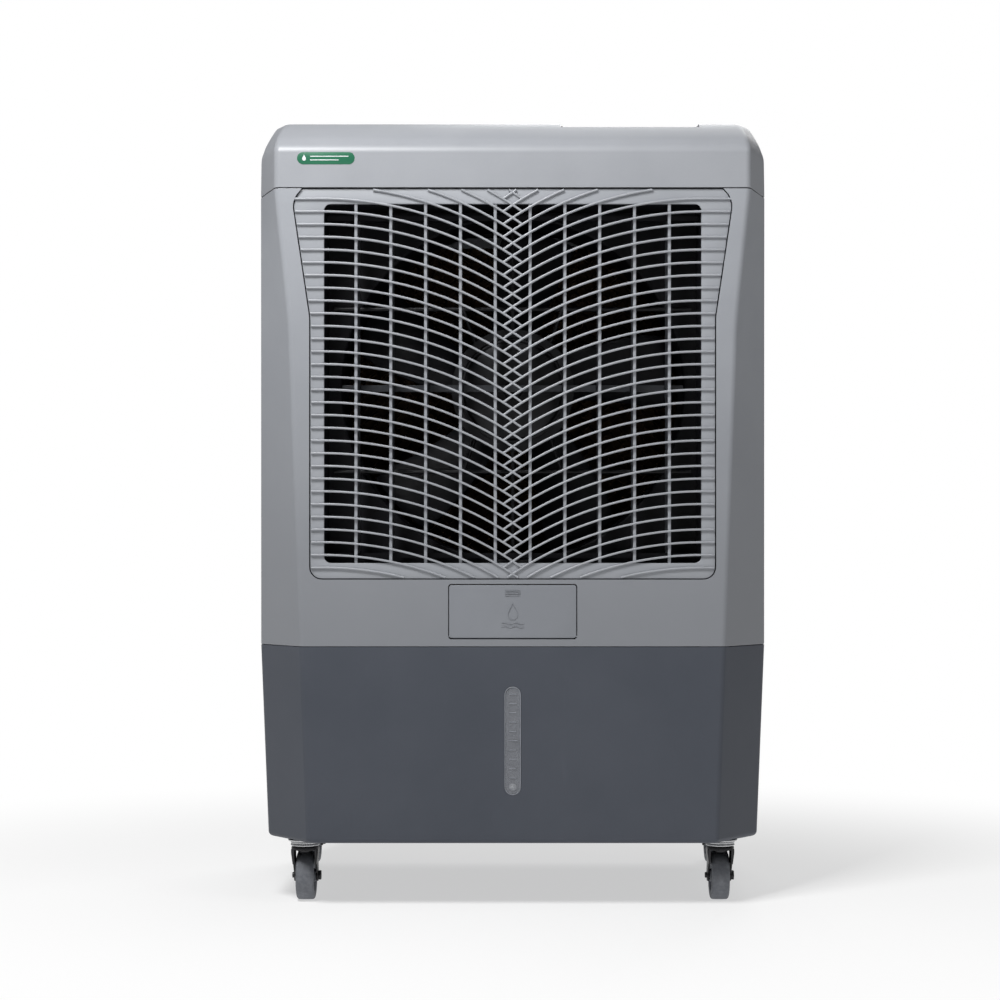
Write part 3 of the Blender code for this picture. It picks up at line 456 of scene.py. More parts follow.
class Finish(Enum):
    """Every finish on the cooler."""

    # Painted shade: the housing's colour darkens from 0.80 m down to 0.30 m, by up to about a fifth, for the
    # light falling off down the body.
    HOUSING = MouldedPlastic(
        "shell_plastic", (0.246, 0.257, 0.279), (0.290, 0.302, 0.325), 0.42,
        specular=0.38, sink_pitch=0.1433, sink_from=0.1110, foot=0.30, head=0.80, painted_shade=0.74,
    )
    LID = MouldedPlastic("shell_plastic", (0.244, 0.254, 0.274), (0.284, 0.294, 0.315), 0.40)
    GRILLE = MouldedPlastic("shell_plastic", (0.256, 0.267, 0.289), (0.302, 0.314, 0.337), 0.36, grain=0.2)
    # The door's darker tone of the same shell plastic is painted shade, matching the housing's painted
    # darkening at the door's height.
    DOOR = MouldedPlastic("shell_plastic", (0.184, 0.194, 0.214), (0.214, 0.225, 0.246), 0.44)
    TANK = MouldedPlastic(
        "tank_plastic", (0.056, 0.063, 0.078), (0.074, 0.081, 0.098), 0.44,
        specular=0.18, scuff=0.6, cloud_scale=5.0,
    )
    WINDOW = ClearPlastic(
        "window_plastic", (0.262, 0.276, 0.306), (0.312, 0.327, 0.360), 0.20, clearness=0.62,
    )
    BLACK = MouldedPlastic("black_plastic", (0.010, 0.010, 0.012), (0.020, 0.020, 0.023), 0.38, scuff=0.2)
    PRINT = MouldedPlastic("white_plastic", (0.55, 0.56, 0.58), (0.66, 0.67, 0.69), 0.5, grain=0.0, scuff=0.0)
    WHITE = MouldedPlastic("white_plastic", (0.60, 0.61, 0.61), (0.70, 0.71, 0.71), 0.36, grain=0.2)
    BADGE = MouldedPlastic("shell_plastic", (0.012, 0.100, 0.052), (0.020, 0.135, 0.072), 0.30, scuff=0.1)
    INNER = MouldedPlastic(
        "black_plastic", (0.006, 0.006, 0.008), (0.011, 0.011, 0.014), 0.50, specular=0.22, scuff=0.1,
    )
    VANE = MouldedPlastic("black_plastic", (0.040, 0.043, 0.050), (0.062, 0.066, 0.074), 0.34, scuff=0.2)
    MARKS = MouldedPlastic(
        "window_plastic", (0.200, 0.213, 0.240), (0.245, 0.258, 0.288), 0.30, grain=0.1, scuff=0.1,
    )
    BLACK_STEEL = Steel("black_steel", (0.014, 0.014, 0.016), (0.035, 0.035, 0.038), 0.38, 0.5)
    ZINC = Steel("zinc_steel", (0.42, 0.43, 0.44), (0.60, 0.60, 0.61), 0.26, 1.0)
    TREAD = Tread("caster_tread", (0.105, 0.112, 0.128), (0.180, 0.188, 0.206), 0.58)
    PAD = PadPaper("pad_media", (0.085, 0.052, 0.028), (0.160, 0.102, 0.055), 0.90)
    HOSE = ClearPlastic("hose_vinyl", (0.62, 0.66, 0.66), (0.74, 0.78, 0.78), 0.20, clearness=0.5)

    def dress(self, piece: Thing) -> None:
        """Gives a piece this finish.

        Args:
            piece: The mesh to dress.
        """
        piece.data.materials.clear()
        piece.data.materials.append(material_of(self))


@cache
def material_of(finish: Finish) -> bpy.types.Material:
    """Makes each finish's material once.

    Args:
        finish: The finish wanted.

    Returns:
        Its material.
    """
    return finish.value.make(finish.name.lower())


# ---------------------------------------------------------------------------------------------
# Mesh work
# ---------------------------------------------------------------------------------------------


class Axis(Enum):
    """What a plate is thick along, or a turned piece turns about."""

    X = "x"
    Y = "y"
    Z = "z"

    def spot(self, across: float, up: float, along: float) -> Vector:
        """Puts a point of an outline in the frame.

        Args:
            across: First coordinate of the outline.
            up: Second coordinate of the outline.
            along: Distance along this axis.

        Returns:
            The point.
        """
        if self is Axis.X:
            return Vector((along, across, up))
        if self is Axis.Y:
            return Vector((across, along, up))
        return Vector((across, up, along))


def arc(centre: Point, radius: float, start: float, sweep: float, steps: int) -> list[Point]:
    """Points along an arc.

    Args:
        centre: The arc's centre.
        radius: Its radius.
        start: First angle, in degrees.
        sweep: Angle run through, in degrees.
        steps: Number of chords.

    Returns:
        The points, both ends included.
    """
    angles = [math.radians(start + sweep * step / steps) for step in range(steps + 1)]
    return [(centre[0] + radius * math.cos(a), centre[1] + radius * math.sin(a)) for a in angles]


def circle(x: float, y: float, radius: float, sides: int = 32) -> list[Point]:
    """A closed round outline of so many sides."""
    return arc((x, y), radius, 0, 360, sides)[:-1]


def rectangle(x0: float, x1: float, y0: float, y1: float) -> list[Point]:
    """A closed outline with four sharp corners."""
    return [(x0, y0), (x1, y0), (x1, y1), (x0, y1)]


def rounded(corners: Sequence[Corner], closed: bool = True) -> list[Point]:
    """Rounds the corners of an outline.

    Args:
        corners: For each corner its two coordinates, its radius and its number of chords.
        closed: Whether the outline closes on itself.

    Returns:
        The outline's points.
    """
    points: list[Point] = []
    for index, (x, y, radius, steps) in enumerate(corners):
        if radius == 0 or (not closed and index in (0, len(corners) - 1)):
            points.append((x, y))
            continue
        corner = Vector((x, y))
        before = (Vector(corners[index - 1][:2]) - corner).normalized()
        after = (Vector(corners[(index + 1) % len(corners)][:2]) - corner).normalized()
        half = before.angle(after) / 2
        centre = corner + (before + after).normalized() * radius / math.sin(half)
        first = corner + before * radius / math.tan(half) - centre
        sweep = first.angle_signed(corner + after * radius / math.tan(half) - centre)
        for step in range(steps + 1):
            spoke = first.copy()
            spoke.rotate(Matrix.Rotation(-sweep * step / steps, 2))
            points.append(tuple(centre + spoke))
    return points


def soft_rectangle(x0: float, x1: float, y0: float, y1: float, radius: float, steps: int = 6) -> list[Point]:
    """A closed outline with four equal round corners."""
    return rounded([(x, y, radius, steps) for x, y in rectangle(x0, x1, y0, y1)])


def stadium(x: float, low: float, high: float, width: float, steps: int = 16) -> list[Point]:
    """An upright slot outline with round ends."""
    half = width / 2
    return arc((x, high - half), half, 0, 180, steps) + arc((x, low + half), half, 180, 180, steps)


def object_from(name: str, data: bpy.types.ID) -> Thing:
    """Links a new object that holds some data."""
    item = bpy.data.objects.new(name, data)
    bpy.context.scene.collection.objects.link(item)
    return item


def shade(item: Thing) -> Thing:
    """Shades a mesh smooth but for its sharp edges."""
    item.data.shade_smooth()
    item.data.set_sharp_from_angle(angle=SHARP_EDGE)
    return item


def solid(name: str, work: bmesh.types.BMesh, mend: bool = True) -> Thing:
    """Ends a bmesh as an object.

    Args:
        name: The object's name.
        work: The mesh, which is freed.
        mend: Whether to weld it and turn its faces outwards.

    Returns:
        The shaded object.
    """
    if mend:
        bmesh.ops.remove_doubles(work, verts=work.verts, dist=WELD)
        bmesh.ops.recalc_face_normals(work, faces=work.faces)
    mesh = bpy.data.meshes.new(name)
    work.to_mesh(mesh)
    work.free()
    return shade(object_from(name, mesh))


def settled(item: Thing) -> Thing:
    """Applies a piece's modifiers and its place, and returns the plain mesh that is left."""
    bpy.context.view_layer.update()
    graph = bpy.context.evaluated_depsgraph_get()
    mesh = bpy.data.meshes.new_from_object(item.evaluated_get(graph), depsgraph=graph)
    mesh.transform(item.matrix_world)
    work = bmesh.new()
    work.from_mesh(mesh)
    name = item.name
    bpy.data.objects.remove(item, do_unlink=True)
    bpy.data.meshes.remove(mesh)
    return solid(name, work)


def merged(name: str, items: Sequence[Thing]) -> Thing:
    """Puts several meshes in one object.

    Args:
        name: The new object's name.
        items: The meshes, which are removed.

    Returns:
        The one object.
    """
    work = bmesh.new()
    for item in items:
        work.from_mesh(item.data)
        bpy.data.objects.remove(item, do_unlink=True)
    return solid(name, work, mend=False)


def copied(item: Thing, name: str, matrix: Matrix) -> Thing:
    """Copies a mesh through a matrix.

    Args:
        item: The mesh to copy.
        name: The copy's name.
        matrix: Where the copy goes.

    Returns:
        The copy.
    """
    mesh = item.data.copy()
    mesh.transform(matrix)
    if matrix.determinant() < 0:
        mesh.flip_normals()
    return object_from(name, mesh)


def loft(name: str, rings: Sequence[Sequence[Place]], closed: bool = True, low: bool = False,
         high: bool = False, mend: bool = True) -> Thing:
    """Skins rings of points that have the same count.

    Args:
        name: The object's name.
        rings: The rings, in order.
        closed: Whether each ring closes on itself.
        low: Whether to cap the first ring.
        high: Whether to cap the last ring.
        mend: Whether to weld the mesh and turn its faces outwards.

    Returns:
        The skinned object.
    """
    work = bmesh.new()
    rows = [[work.verts.new(point) for point in ring] for ring in rings]
    count = len(rows[0])
    for near, far in zip(rows, rows[1:]):
        for i in range(count if closed else count - 1):
            j = (i + 1) % count
            work.faces.new((near[i], near[j], far[j], far[i]))
    if low:
        work.faces.new(list(reversed(rows[0])))
    if high:
        work.faces.new(rows[-1])
    return solid(name, work, mend)


def plate(name: str, outlines: Sequence[Sequence[Point]], axis: Axis, low: float, high: float,
          edge: float = 0.0) -> Thing:
    """A flat outline with holes, given thickness and rounded edges.

    Args:
        name: The object's name.
        outlines: The outer outline and those of its holes.
        axis: The axis it is thick along.
        low: Where it starts on that axis.
        high: Where it ends.
        edge: Radius of its edges.

    Returns:
        The solid plate.
    """
    curve = bpy.data.curves.new(name, "CURVE")
    curve.dimensions = "2D"
    curve.fill_mode = "BOTH"
    curve.extrude = (high - low) / 2 - edge
    curve.bevel_depth = edge
    curve.bevel_resolution = 2
    curve.offset = -edge
    for outline in outlines:
        spline = curve.splines.new("POLY")
        spline.points.add(len(outline) - 1)
        for point, (across, up) in zip(spline.points, outline):
            point.co = (across, up, 0, 1)
        spline.use_cyclic_u = True
    item = object_from(name, curve)
    across, up = axis.spot(1, 0, 0), axis.spot(0, 1, 0)
    item.matrix_world = Matrix((across, up, across.cross(up))).transposed().to_4x4()
    item = settled(item)
    item.data.transform(Matrix.Translation(axis.spot(0, 0, (low + high) / 2)))
    return item


def turned(name: str, profile: Sequence[Point], centre: Sequence[float], axis: Axis = Axis.Z,
           steps: int = 48, ring: bool = False) -> Thing:
    """A profile turned about an axis.

    Args:
        name: The object's name.
        profile: Points as radius and height along the axis.
        centre: Where height 0 is.
        axis: The axis it turns about.
        steps: Sides of the round.
        ring: Whether the profile closes on itself.

    Returns:
        The turned solid.
    """
    work = bmesh.new()
    middle = Vector(centre)
    rows = []
    for step in range(steps):
        angle = 2 * math.pi * step / steps
        across, up = math.cos(angle), math.sin(angle)
        spots = [axis.spot(radius * across, radius * up, height) for radius, height in profile]
        rows.append([work.verts.new(middle + spot) for spot in spots])
    for near, far in zip(rows, rows[1:] + rows[:1]):
        for i in range(len(profile) if ring else len(profile) - 1):
            j = (i + 1) % len(profile)
            work.faces.new((near[i], near[j], far[j], far[i]))
    bmesh.ops.remove_doubles(work, verts=work.verts, dist=WELD)
    bmesh.ops.dissolve_degenerate(work, edges=work.edges, dist=WELD)
    return solid(name, work)


def tube(name: str, points: Sequence[Sequence[float]], radius: float, sides: int = 4) -> Thing:
    """A round bar or hose along points.

    Args:
        name: The object's name.
        points: The centre line.
        radius: The bar's radius.
        sides: Fineness of the round.

    Returns:
        The tube as a mesh.
    """
    curve = bpy.data.curves.new(name, "CURVE")
    curve.dimensions = "3D"
    curve.bevel_depth = radius
    curve.bevel_resolution = sides
    curve.use_fill_caps = True
    spline = curve.splines.new("POLY")
    spline.points.add(len(points) - 1)
    for point, place in zip(spline.points, points):
        point.co = (*place, 1)
    return settled(object_from(name, curve))


def strip(name: str, line: Sequence[Point], width: float, front: float, back: float,
          closed: bool = False) -> Thing:
    """A low bar with a rounded front that follows a line in a plane facing -Y.

    Args:
        name: The object's name.
        line: The centre line as x and z.
        width: The bar's width.
        front: Where its crown is along Y.
        back: Where its foot is.
        closed: Whether the line closes on itself.

    Returns:
        The swept solid.
    """
    half = width / 2
    radius = min(half * 0.8, back - front)
    crown = arc((-half + radius, front + radius), radius, 180, 90, 3)
    crown += arc((half - radius, front + radius), radius, 270, 90, 3)
    section = [(-half, back)] + crown + [(half, back)]
    rings = []
    count = len(line)
    for i, (x, z) in enumerate(line):
        before = line[i - 1] if closed or i else line[i]
        after = line[(i + 1) % count] if closed or i < count - 1 else line[i]
        along = Vector((after[0] - before[0], after[1] - before[1])).normalized()
        rings.append([(x - along.y * s, y, z + along.x * s) for s, y in section])
    if closed:
        rings.append(rings[0])
    return loft(name, rings, low=not closed, high=not closed)


def block(name: str, low: Sequence[float], high: Sequence[float], edge: float = 0.0008) -> Thing:
    """A box between two corners with rounded edges.

    Args:
        name: The object's name.
        low: Its lowest corner.
        high: Its highest corner.
        edge: Radius of its edges.

    Returns:
        The solid block.
    """
    outline = soft_rectangle(low[0], high[0], low[2], high[2], edge * 1.01, 3)
    return plate(name, [outline], Axis.Y, low[1], high[1], edge * 0.98)


def cut(item: Thing, others: Sequence[Thing]) -> Thing:
    """Cuts solids from a piece and applies the result.

    Args:
        item: The piece.
        others: The solids, which are removed.

    Returns:
        The new piece.
    """
    for other in others:
        step = item.modifiers.new("boolean", "BOOLEAN")
        step.operation = "DIFFERENCE"
        step.object = other
        step.solver = "EXACT"
    item = settled(item)
    for other in others:
        bpy.data.objects.remove(other, do_unlink=True)
    return item


def walled(item: Thing, thickness: float, offset: float = -1, even: bool = False) -> Thing:
    """Gives a skin thickness.

    Args:
        item: The skin.
        thickness: How thick it gets.
        offset: Which way it grows, from -1 for inwards to 1.
        even: Whether to keep the thickness at corners.

    Returns:
        The same piece.
    """
    wall = item.modifiers.new("wall", "SOLIDIFY")
    wall.thickness = thickness
    wall.offset = offset
    wall.use_even_offset = even
    return item


def softened(item: Thing, width: float, angle: float = 40.0) -> Thing:
    """Rounds a piece's sharp edges.

    Args:
        item: The piece.
        width: Width of the rounding.
        angle: Least angle of a sharp edge, in degrees.

    Returns:
        The same piece.
    """
    bevel = item.modifiers.new("edges", "BEVEL")
    bevel.width = width
    bevel.segments = 2
    bevel.limit_method = "ANGLE"
    bevel.angle_limit = math.radians(angle)
    bevel.harden_normals = True
    bevel.miter_outer = "MITER_ARC"
    return item


def evened(item: Thing) -> Thing:
    """Makes wide faces rule the shading of the narrow ones beside them."""
    item.modifiers.new("even", "WEIGHTED_NORMAL").keep_sharp = True
    return item


def fit(piece: Thing, finish: Finish, body: str, *nodes: str) -> Thing:
    """Dresses a piece and fits it to the frame.

    Args:
        piece: The piece.
        finish: What it is made of.
        body: The body that it moves with.
        nodes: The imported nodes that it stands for.

    Returns:
        The same piece.
    """
    finish.dress(piece)
    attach(piece, body)
    if nodes:
        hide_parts(*nodes)
    log.info("%s on %s, %d faces", piece.name, body, len(piece.data.polygons))
    return piece


def carry(finish: Finish, *nodes: str) -> None:
    """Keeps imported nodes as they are, but dressed.

    Args:
        finish: What they are made of.
        nodes: Their names.
    """
    for node in nodes:
        finish.dress(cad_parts[node])
        log.info("%s kept from the frame", node)


# ---------------------------------------------------------------------------------------------
# Sub-assemblies
# ---------------------------------------------------------------------------------------------


def smooth_route(points: Sequence[Sequence[float]], steps: int) -> list[Vector]:
    """One smooth curve through given points.

    Args:
        points: The points it passes through.
        steps: Chords between each two.

    Returns:
        Points along the curve.
    """
    spots = [Vector(point) for point in points]
    padded = [2 * spots[0] - spots[1]] + spots + [2 * spots[-1] - spots[-2]]
    smooth = []
    for a, b, c, d in zip(padded, padded[1:], padded[2:], padded[3:]):
        for step in range(steps):
            t = step / steps
            cubic = (3 * b - a - 3 * c + d) * t**3
            smooth.append(0.5 * (2 * b + (c - a) * t + (2 * a - 5 * b + 4 * c - d) * t * t + cubic))
    return smooth + [spots[-1]]


@dataclass
class Cabinet:
    """The three moulded shells: tank, upper housing and lid."""

    wall: float = 0.0035
    tank_wall: float = 0.004
    crease: float = 0.009
    shoulder: float = 0.012
    corner_run: float = 0.073
    foot_half: float = 0.305
    foot_edge: float = 0.006
    lip: float = 0.0007
    rear_opening_half: float = 0.2745
    rebate_half: float = 0.287
    rebate_depth: float = 0.0105
    flare_from: float = 0.70
    flare_rise: float = 0.17
    flare_out: float = 0.0114
    lid_wall: float = 0.003
    door_half: float = 0.0785
    door_low: float = 0.3264
    door_high: float = 0.3937
    witness_x: Place = (-0.1957, -0.0264, 0.1972)

    def front_half(self, z: float) -> float:
        """Half width of the flat front face at a height.

        Args:
            z: The height.

        Returns:
            The half width, which flares softly beside the grille's top.
        """
        rise = min(max((z - self.flare_from) / self.flare_rise, 0), 1)
        flare = 1.15 * rise * rise / (rise + 0.15)
        return 0.249 + 0.036 * (z - TANK.low.z) + self.flare_out * flare

    def ring(
        self, z: float, front: float, half: float, side: float, corner: float, back: float
    ) -> list[Place]:
        """A closed plan outline: flat front, slanted corners, flat sides.

        Args:
            z: Its height.
            front: Where its front face is.
            half: Half width of the front face.
            side: Half width of the body.
            corner: Where the slanted corners end.
            back: Where its back is.

        Returns:
            The outline's points.
        """
        bend = self.shoulder
        right = [(half, front, self.crease, 5), (side, corner, bend, 5), (side, back, bend, 7)]
        left = [(-x, y, radius, steps) for x, y, radius, steps in right]
        return [(x, y, z) for x, y in rounded([left[0], *right, left[2], left[1]])]

    def tank_ring(self, z: float, inset: float = 0.0) -> list[Place]:
        """The tank's plan outline.

        Args:
            z: Its height.
            inset: How far it is drawn in.

        Returns:
            The outline's points.
        """
        draft = (z - TANK.low.z) / (TANK.high.z - TANK.low.z)
        side = self.foot_half + (SIDE - self.foot_half) * draft - inset
        half = self.front_half(z) - inset * 0.7
        return self.ring(z, FRONT + inset, half, side, FRONT + self.corner_run + inset * 0.3, BACK - inset)

    def tank(self) -> None:
        """Open basin with a rounded foot, a recess for the window and holes for the fittings."""
        foot, top, lip = TANK.low.z, TANK.high.z, self.lip
        rings = []
        for rise, out in arc((0, 0), self.foot_edge, 90, -90, 7):
            rings.append(self.tank_ring(foot + self.foot_edge - out, self.foot_edge - rise))
        rings += [self.tank_ring(foot + (top - foot) * share) for share in (0.35, 0.7)]
        rings += [self.tank_ring(top - lip), self.tank_ring(top - lip * 0.3, lip * 0.25)]
        rings.append(self.tank_ring(top, lip))
        shell = walled(loft("tank_shell", rings, low=True), self.tank_wall)
        window = Room.of("level_window")
        low, high, wide = window.low.z, window.high.z, window.high.x * 2
        cuts = []
        for grow, depth in ((0.0004, 0.0026), (-0.003, 0.006)):
            slot = stadium(0, low - grow, high + grow, wide + grow * 2)
            cuts.append(plate("cut", [slot], Axis.Y, FRONT - 0.002, FRONT + depth))
        for node, radius in (("float_valve", 0.0084), ("drain_plug", 0.0112)):
            spot = Room.of(node).middle
            cuts.append(plate("cut", [circle(spot.x, spot.z, radius)], Axis.Y, BACK - 0.01, BACK + 0.01))
        shell = cut(shell, cuts)
        fit(evened(softened(shell, 0.0005, 50)), Finish.TANK, "cabinet", "tank")
        upright = [[(x, foot + 0.018), (x, foot + 0.042)] for x in self.witness_x]
        level = [[(x - 0.009, foot + 0.0105), (x + 0.009, foot + 0.0105)] for x in self.witness_x]
        witness = [strip("line", line, 0.0006, FRONT - 0.00012, FRONT + 0.001) for line in upright]
        witness += [strip("line", line, 0.0005, FRONT - 0.0001, FRONT + 0.001) for line in level]
        fit(merged("tank_mould_marks", witness), Finish.TANK, "cabinet")

    def housing_ring(self, z: float, inset: float = 0.0) -> list[Place]:
        """The upper housing's plan outline, open at the back between two rebated flanges.

        Args:
            z: Its height.
            inset: How far its outside is drawn in.

        Returns:
            The outline's points, from the left flange round the front to the right one.
        """
        rebate, side = BACK - self.rebate_depth, SIDE - inset
        left = [
            (-self.rear_opening_half, rebate, 0, 0),
            (-self.rebate_half, rebate, 0, 0),
            (-self.rebate_half, BACK, 0, 0),
            (-side, BACK, self.shoulder, 7),
            (-side, FRONT + self.corner_run, self.shoulder, 5),
            (-self.front_half(z) + inset * 0.7, FRONT + inset, self.crease, 5),
        ]
        right = [(-x, y, radius, steps) for x, y, radius, steps in reversed(left)]
        return [(x, y, z) for x, y in rounded(left + right, closed=False)]

    def housing(self, notch: Sequence[Point]) -> None:
        """Shell round the fan, cut for the grille and the fill door.

        Args:
            notch: Outline of the grille's notch.
        """
        low, high, lip = HOUSING.low.z, HOUSING.high.z, self.lip
        rings = [self.housing_ring(low, lip), self.housing_ring(low + lip * 0.3, lip * 0.25)]
        rings += [self.housing_ring(z) for z in (low + lip, 0.45, 0.58, 0.68)]
        rings += [self.housing_ring(self.flare_from + 0.0195 * step) for step in range(9)]
        rings += [self.housing_ring(high - lip), self.housing_ring(high - lip * 0.3, lip * 0.25),
                  self.housing_ring(high, lip)]
        shell = walled(loft("housing_shell", rings, closed=False, mend=False), self.wall, even=True)
        mouth = soft_rectangle(-self.door_half, self.door_half, self.door_low, self.door_high, 0.004)
        cuts = [plate("cut", [outline], Axis.Y, FRONT - 0.01, FRONT + 0.012) for outline in (notch, mouth)]
        shell = cut(shell, cuts)
        fit(evened(softened(shell, 0.0006, 50)), Finish.HOUSING, "cabinet", "upper_housing")

    def lid_ring(self, z: float, front_inset: float, side_inset: float) -> list[Place]:
        """The lid's plan outline.

        Args:
            z: Its height.
            front_inset: How far the front is drawn in.
            side_inset: How far the sides and the back are drawn in.

        Returns:
            The outline's points.
        """
        share = front_inset / 0.060
        half = self.front_half(LID.low.z) - 0.009 * share
        corner = FRONT + self.corner_run + 0.012 * share
        return self.ring(z, FRONT + front_inset, half, SIDE - side_inset, corner, BACK - side_inset)

    def lid(self) -> None:
        """Hollow lid with a sloped front and sides, and an opening for the control panel."""
        foot, top, lip = LID.low.z, LID.high.z, self.lip
        knots = [
            (foot, lip, lip), (foot + lip * 0.3, lip * 0.25, lip * 0.25), (foot + lip, 0, 0),
            (top - 0.0470, 0.0, 0.0006), (top - 0.0425, 0.0006, 0.0009), (top - 0.0380, 0.0031, 0.0019),
        ]
        slope = [
            (top - 0.0345, 0.0062, 0.0032), (top - 0.0250, 0.0160, 0.0065), (top - 0.0120, 0.0360, 0.0130),
            (top - 0.0030, 0.0540, 0.0185), (top, 0.0650, 0.0240),
        ]
        knots += [tuple(point) for point in smooth_route(slope, 4)]
        shell = loft("lid_shell", [self.lid_ring(*knot) for knot in knots], high=True)
        shell = walled(shell, self.lid_wall)
        controls = Room.of("control_panel")
        low, high, gap = controls.low, controls.high, 0.0004
        outline = soft_rectangle(low.x - gap, high.x + gap, low.y - gap, high.y + gap, 0.002, 4)
        shell = cut(shell, [plate("cut", [outline], Axis.Z, low.z - 0.008, top + 0.01)])
        fit(evened(softened(shell, 0.0006, 50)), Finish.LID, "cabinet", "top_cover")


@dataclass
class Grille:
    """Inset panel: a flange, two crossing families of curved ribs and a comb of upright bars."""

    half: float = 0.2462
    flare_from: float = 0.718
    wide_z: float = 0.861
    top_half: float = 0.2545
    opening_half: float = 0.2296
    opening_low: float = 0.419
    opening_high: float = 0.856
    opening_radius: float = 0.0085
    rib_radius: float = 0.419
    rib_apex: float = 0.231
    rib_first: float = 0.8466
    rib_pitch: float = 0.01547
    ribs_above: int = 6
    rib_count: int = 36
    rib_width: float = 0.0026
    rib_front: float = FRONT + 0.0002
    flange_front: float = FRONT + 0.0031
    bar_pitch: float = 0.0424
    bar_count: int = 10
    bar_width: float = 0.0038
    bar_front: float = FRONT + 0.0043
    bar_back: float = FRONT + 0.0103
    comb_border: float = 0.004

    def outline(self, grow: float = 0.0, top: float = PANEL.high.z) -> list[Point]:
        """The panel's outline: straight sides, a flare and cut top corners.

        Args:
            grow: How far it is grown.
            top: Height of its top edge.

        Returns:
            The outline's points.
        """
        wide = PANEL.high.x
        slope = (wide - self.top_half) / (PANEL.high.z + 0.0007 - self.wide_z)
        top_half = self.top_half - slope * (top - PANEL.high.z - 0.0007)
        right = [
            (self.half + grow, PANEL.low.z - grow, 0.014 + grow, 8),
            (self.half + grow, self.flare_from, 0.060, 8),
            (wide + grow, self.wide_z, 0.026, 10),
            (top_half + grow, top, 0.0, 0),
        ]
        left = [(-x, z, radius, steps) for x, z, radius, steps in reversed(right)]
        return rounded(right + left)

    def side_at(self, z: float) -> float:
        """Half width of the panel at a height."""
        if z < self.flare_from:
            return self.half
        wide = PANEL.high.x
        if z < self.wide_z:
            return self.half + (wide - self.half) * (z - self.flare_from) / (self.wide_z - self.flare_from)
        return wide - (wide - self.top_half) * (z - self.wide_z) / (PANEL.high.z - self.wide_z)

    def rib_line(self, index: int) -> list[Point]:
        """Centre line of a left-hand rib.

        Args:
            index: Its number, from the first that starts at the side.

        Returns:
            Points from the panel's edge to the rib that it meets just past the middle.
        """
        slope = self.rib_apex / math.sqrt(self.rib_radius**2 - self.rib_apex**2)
        last, fine, margin = self.rib_pitch / (2 * slope), 600, 0.0012
        kept = []
        for step in range(fine + 1):
            x = -PANEL.high.x + (last + PANEL.high.x) * step / fine
            run = max(x + self.rib_apex, 0.0)
            z = self.rib_first - self.rib_pitch * index - self.rib_radius
            z += math.sqrt(self.rib_radius**2 - run**2)
            if PANEL.low.z + margin < z < PANEL.high.z - margin and -x < self.side_at(z) - margin * 0.5:
                kept.append((x, z))
        return kept[:-1:12] + kept[-1:]

    def ribs(self) -> None:
        """Sweeps both families, with the right one a hair lower where they cross."""
        sweeps = []
        for index in range(-self.ribs_above, self.rib_count - self.ribs_above):
            line = self.rib_line(index)
            if len(line) > 2:
                sweeps.append(strip("rib", line, self.rib_width, self.rib_front, self.bar_front + 0.0006))
        left = merged("grille_ribs_left", sweeps)
        mirror = Matrix.Translation((0, 0.00006, 0)) @ Matrix.Diagonal((-1, 1, 1, 1))
        right = shade(copied(left, "grille_ribs_right", mirror))
        for side in (left, right):
            fit(side, Finish.GRILLE, "cabinet", "front_grille")

    def bar_places(self) -> list[float]:
        """Where the upright bars stand, and the vanes behind them."""
        return [(i - (self.bar_count - 1) / 2) * self.bar_pitch for i in range(self.bar_count)]

    def build(self) -> None:
        """Builds flange, ribs and bars."""
        half, low, high, front = self.opening_half, self.opening_low, self.opening_high, self.flange_front
        opening = soft_rectangle(-half, half, low, high, self.opening_radius)
        flange = plate("grille_flange", [self.outline(), opening], Axis.Y, front, front + 0.0018, 0.0004)
        fit(flange, Finish.GRILLE, "cabinet", "front_grille")
        self.ribs()
        sides = [x + side * self.bar_width / 2 for x in self.bar_places() for side in (-1, 1)]
        edges = [-half] + sides + [half]
        holes = [rectangle(x0, x1, low, high) for x0, x1 in zip(edges[::2], edges[1::2])]
        grow = self.comb_border
        border = rectangle(-half - grow, half + grow, low - grow, high + grow)
        comb = plate("grille_bar_comb", [border, *holes], Axis.Y, self.bar_front, self.bar_back, 0.0011)
        fit(comb, Finish.GRILLE, "cabinet", "grille_bars")


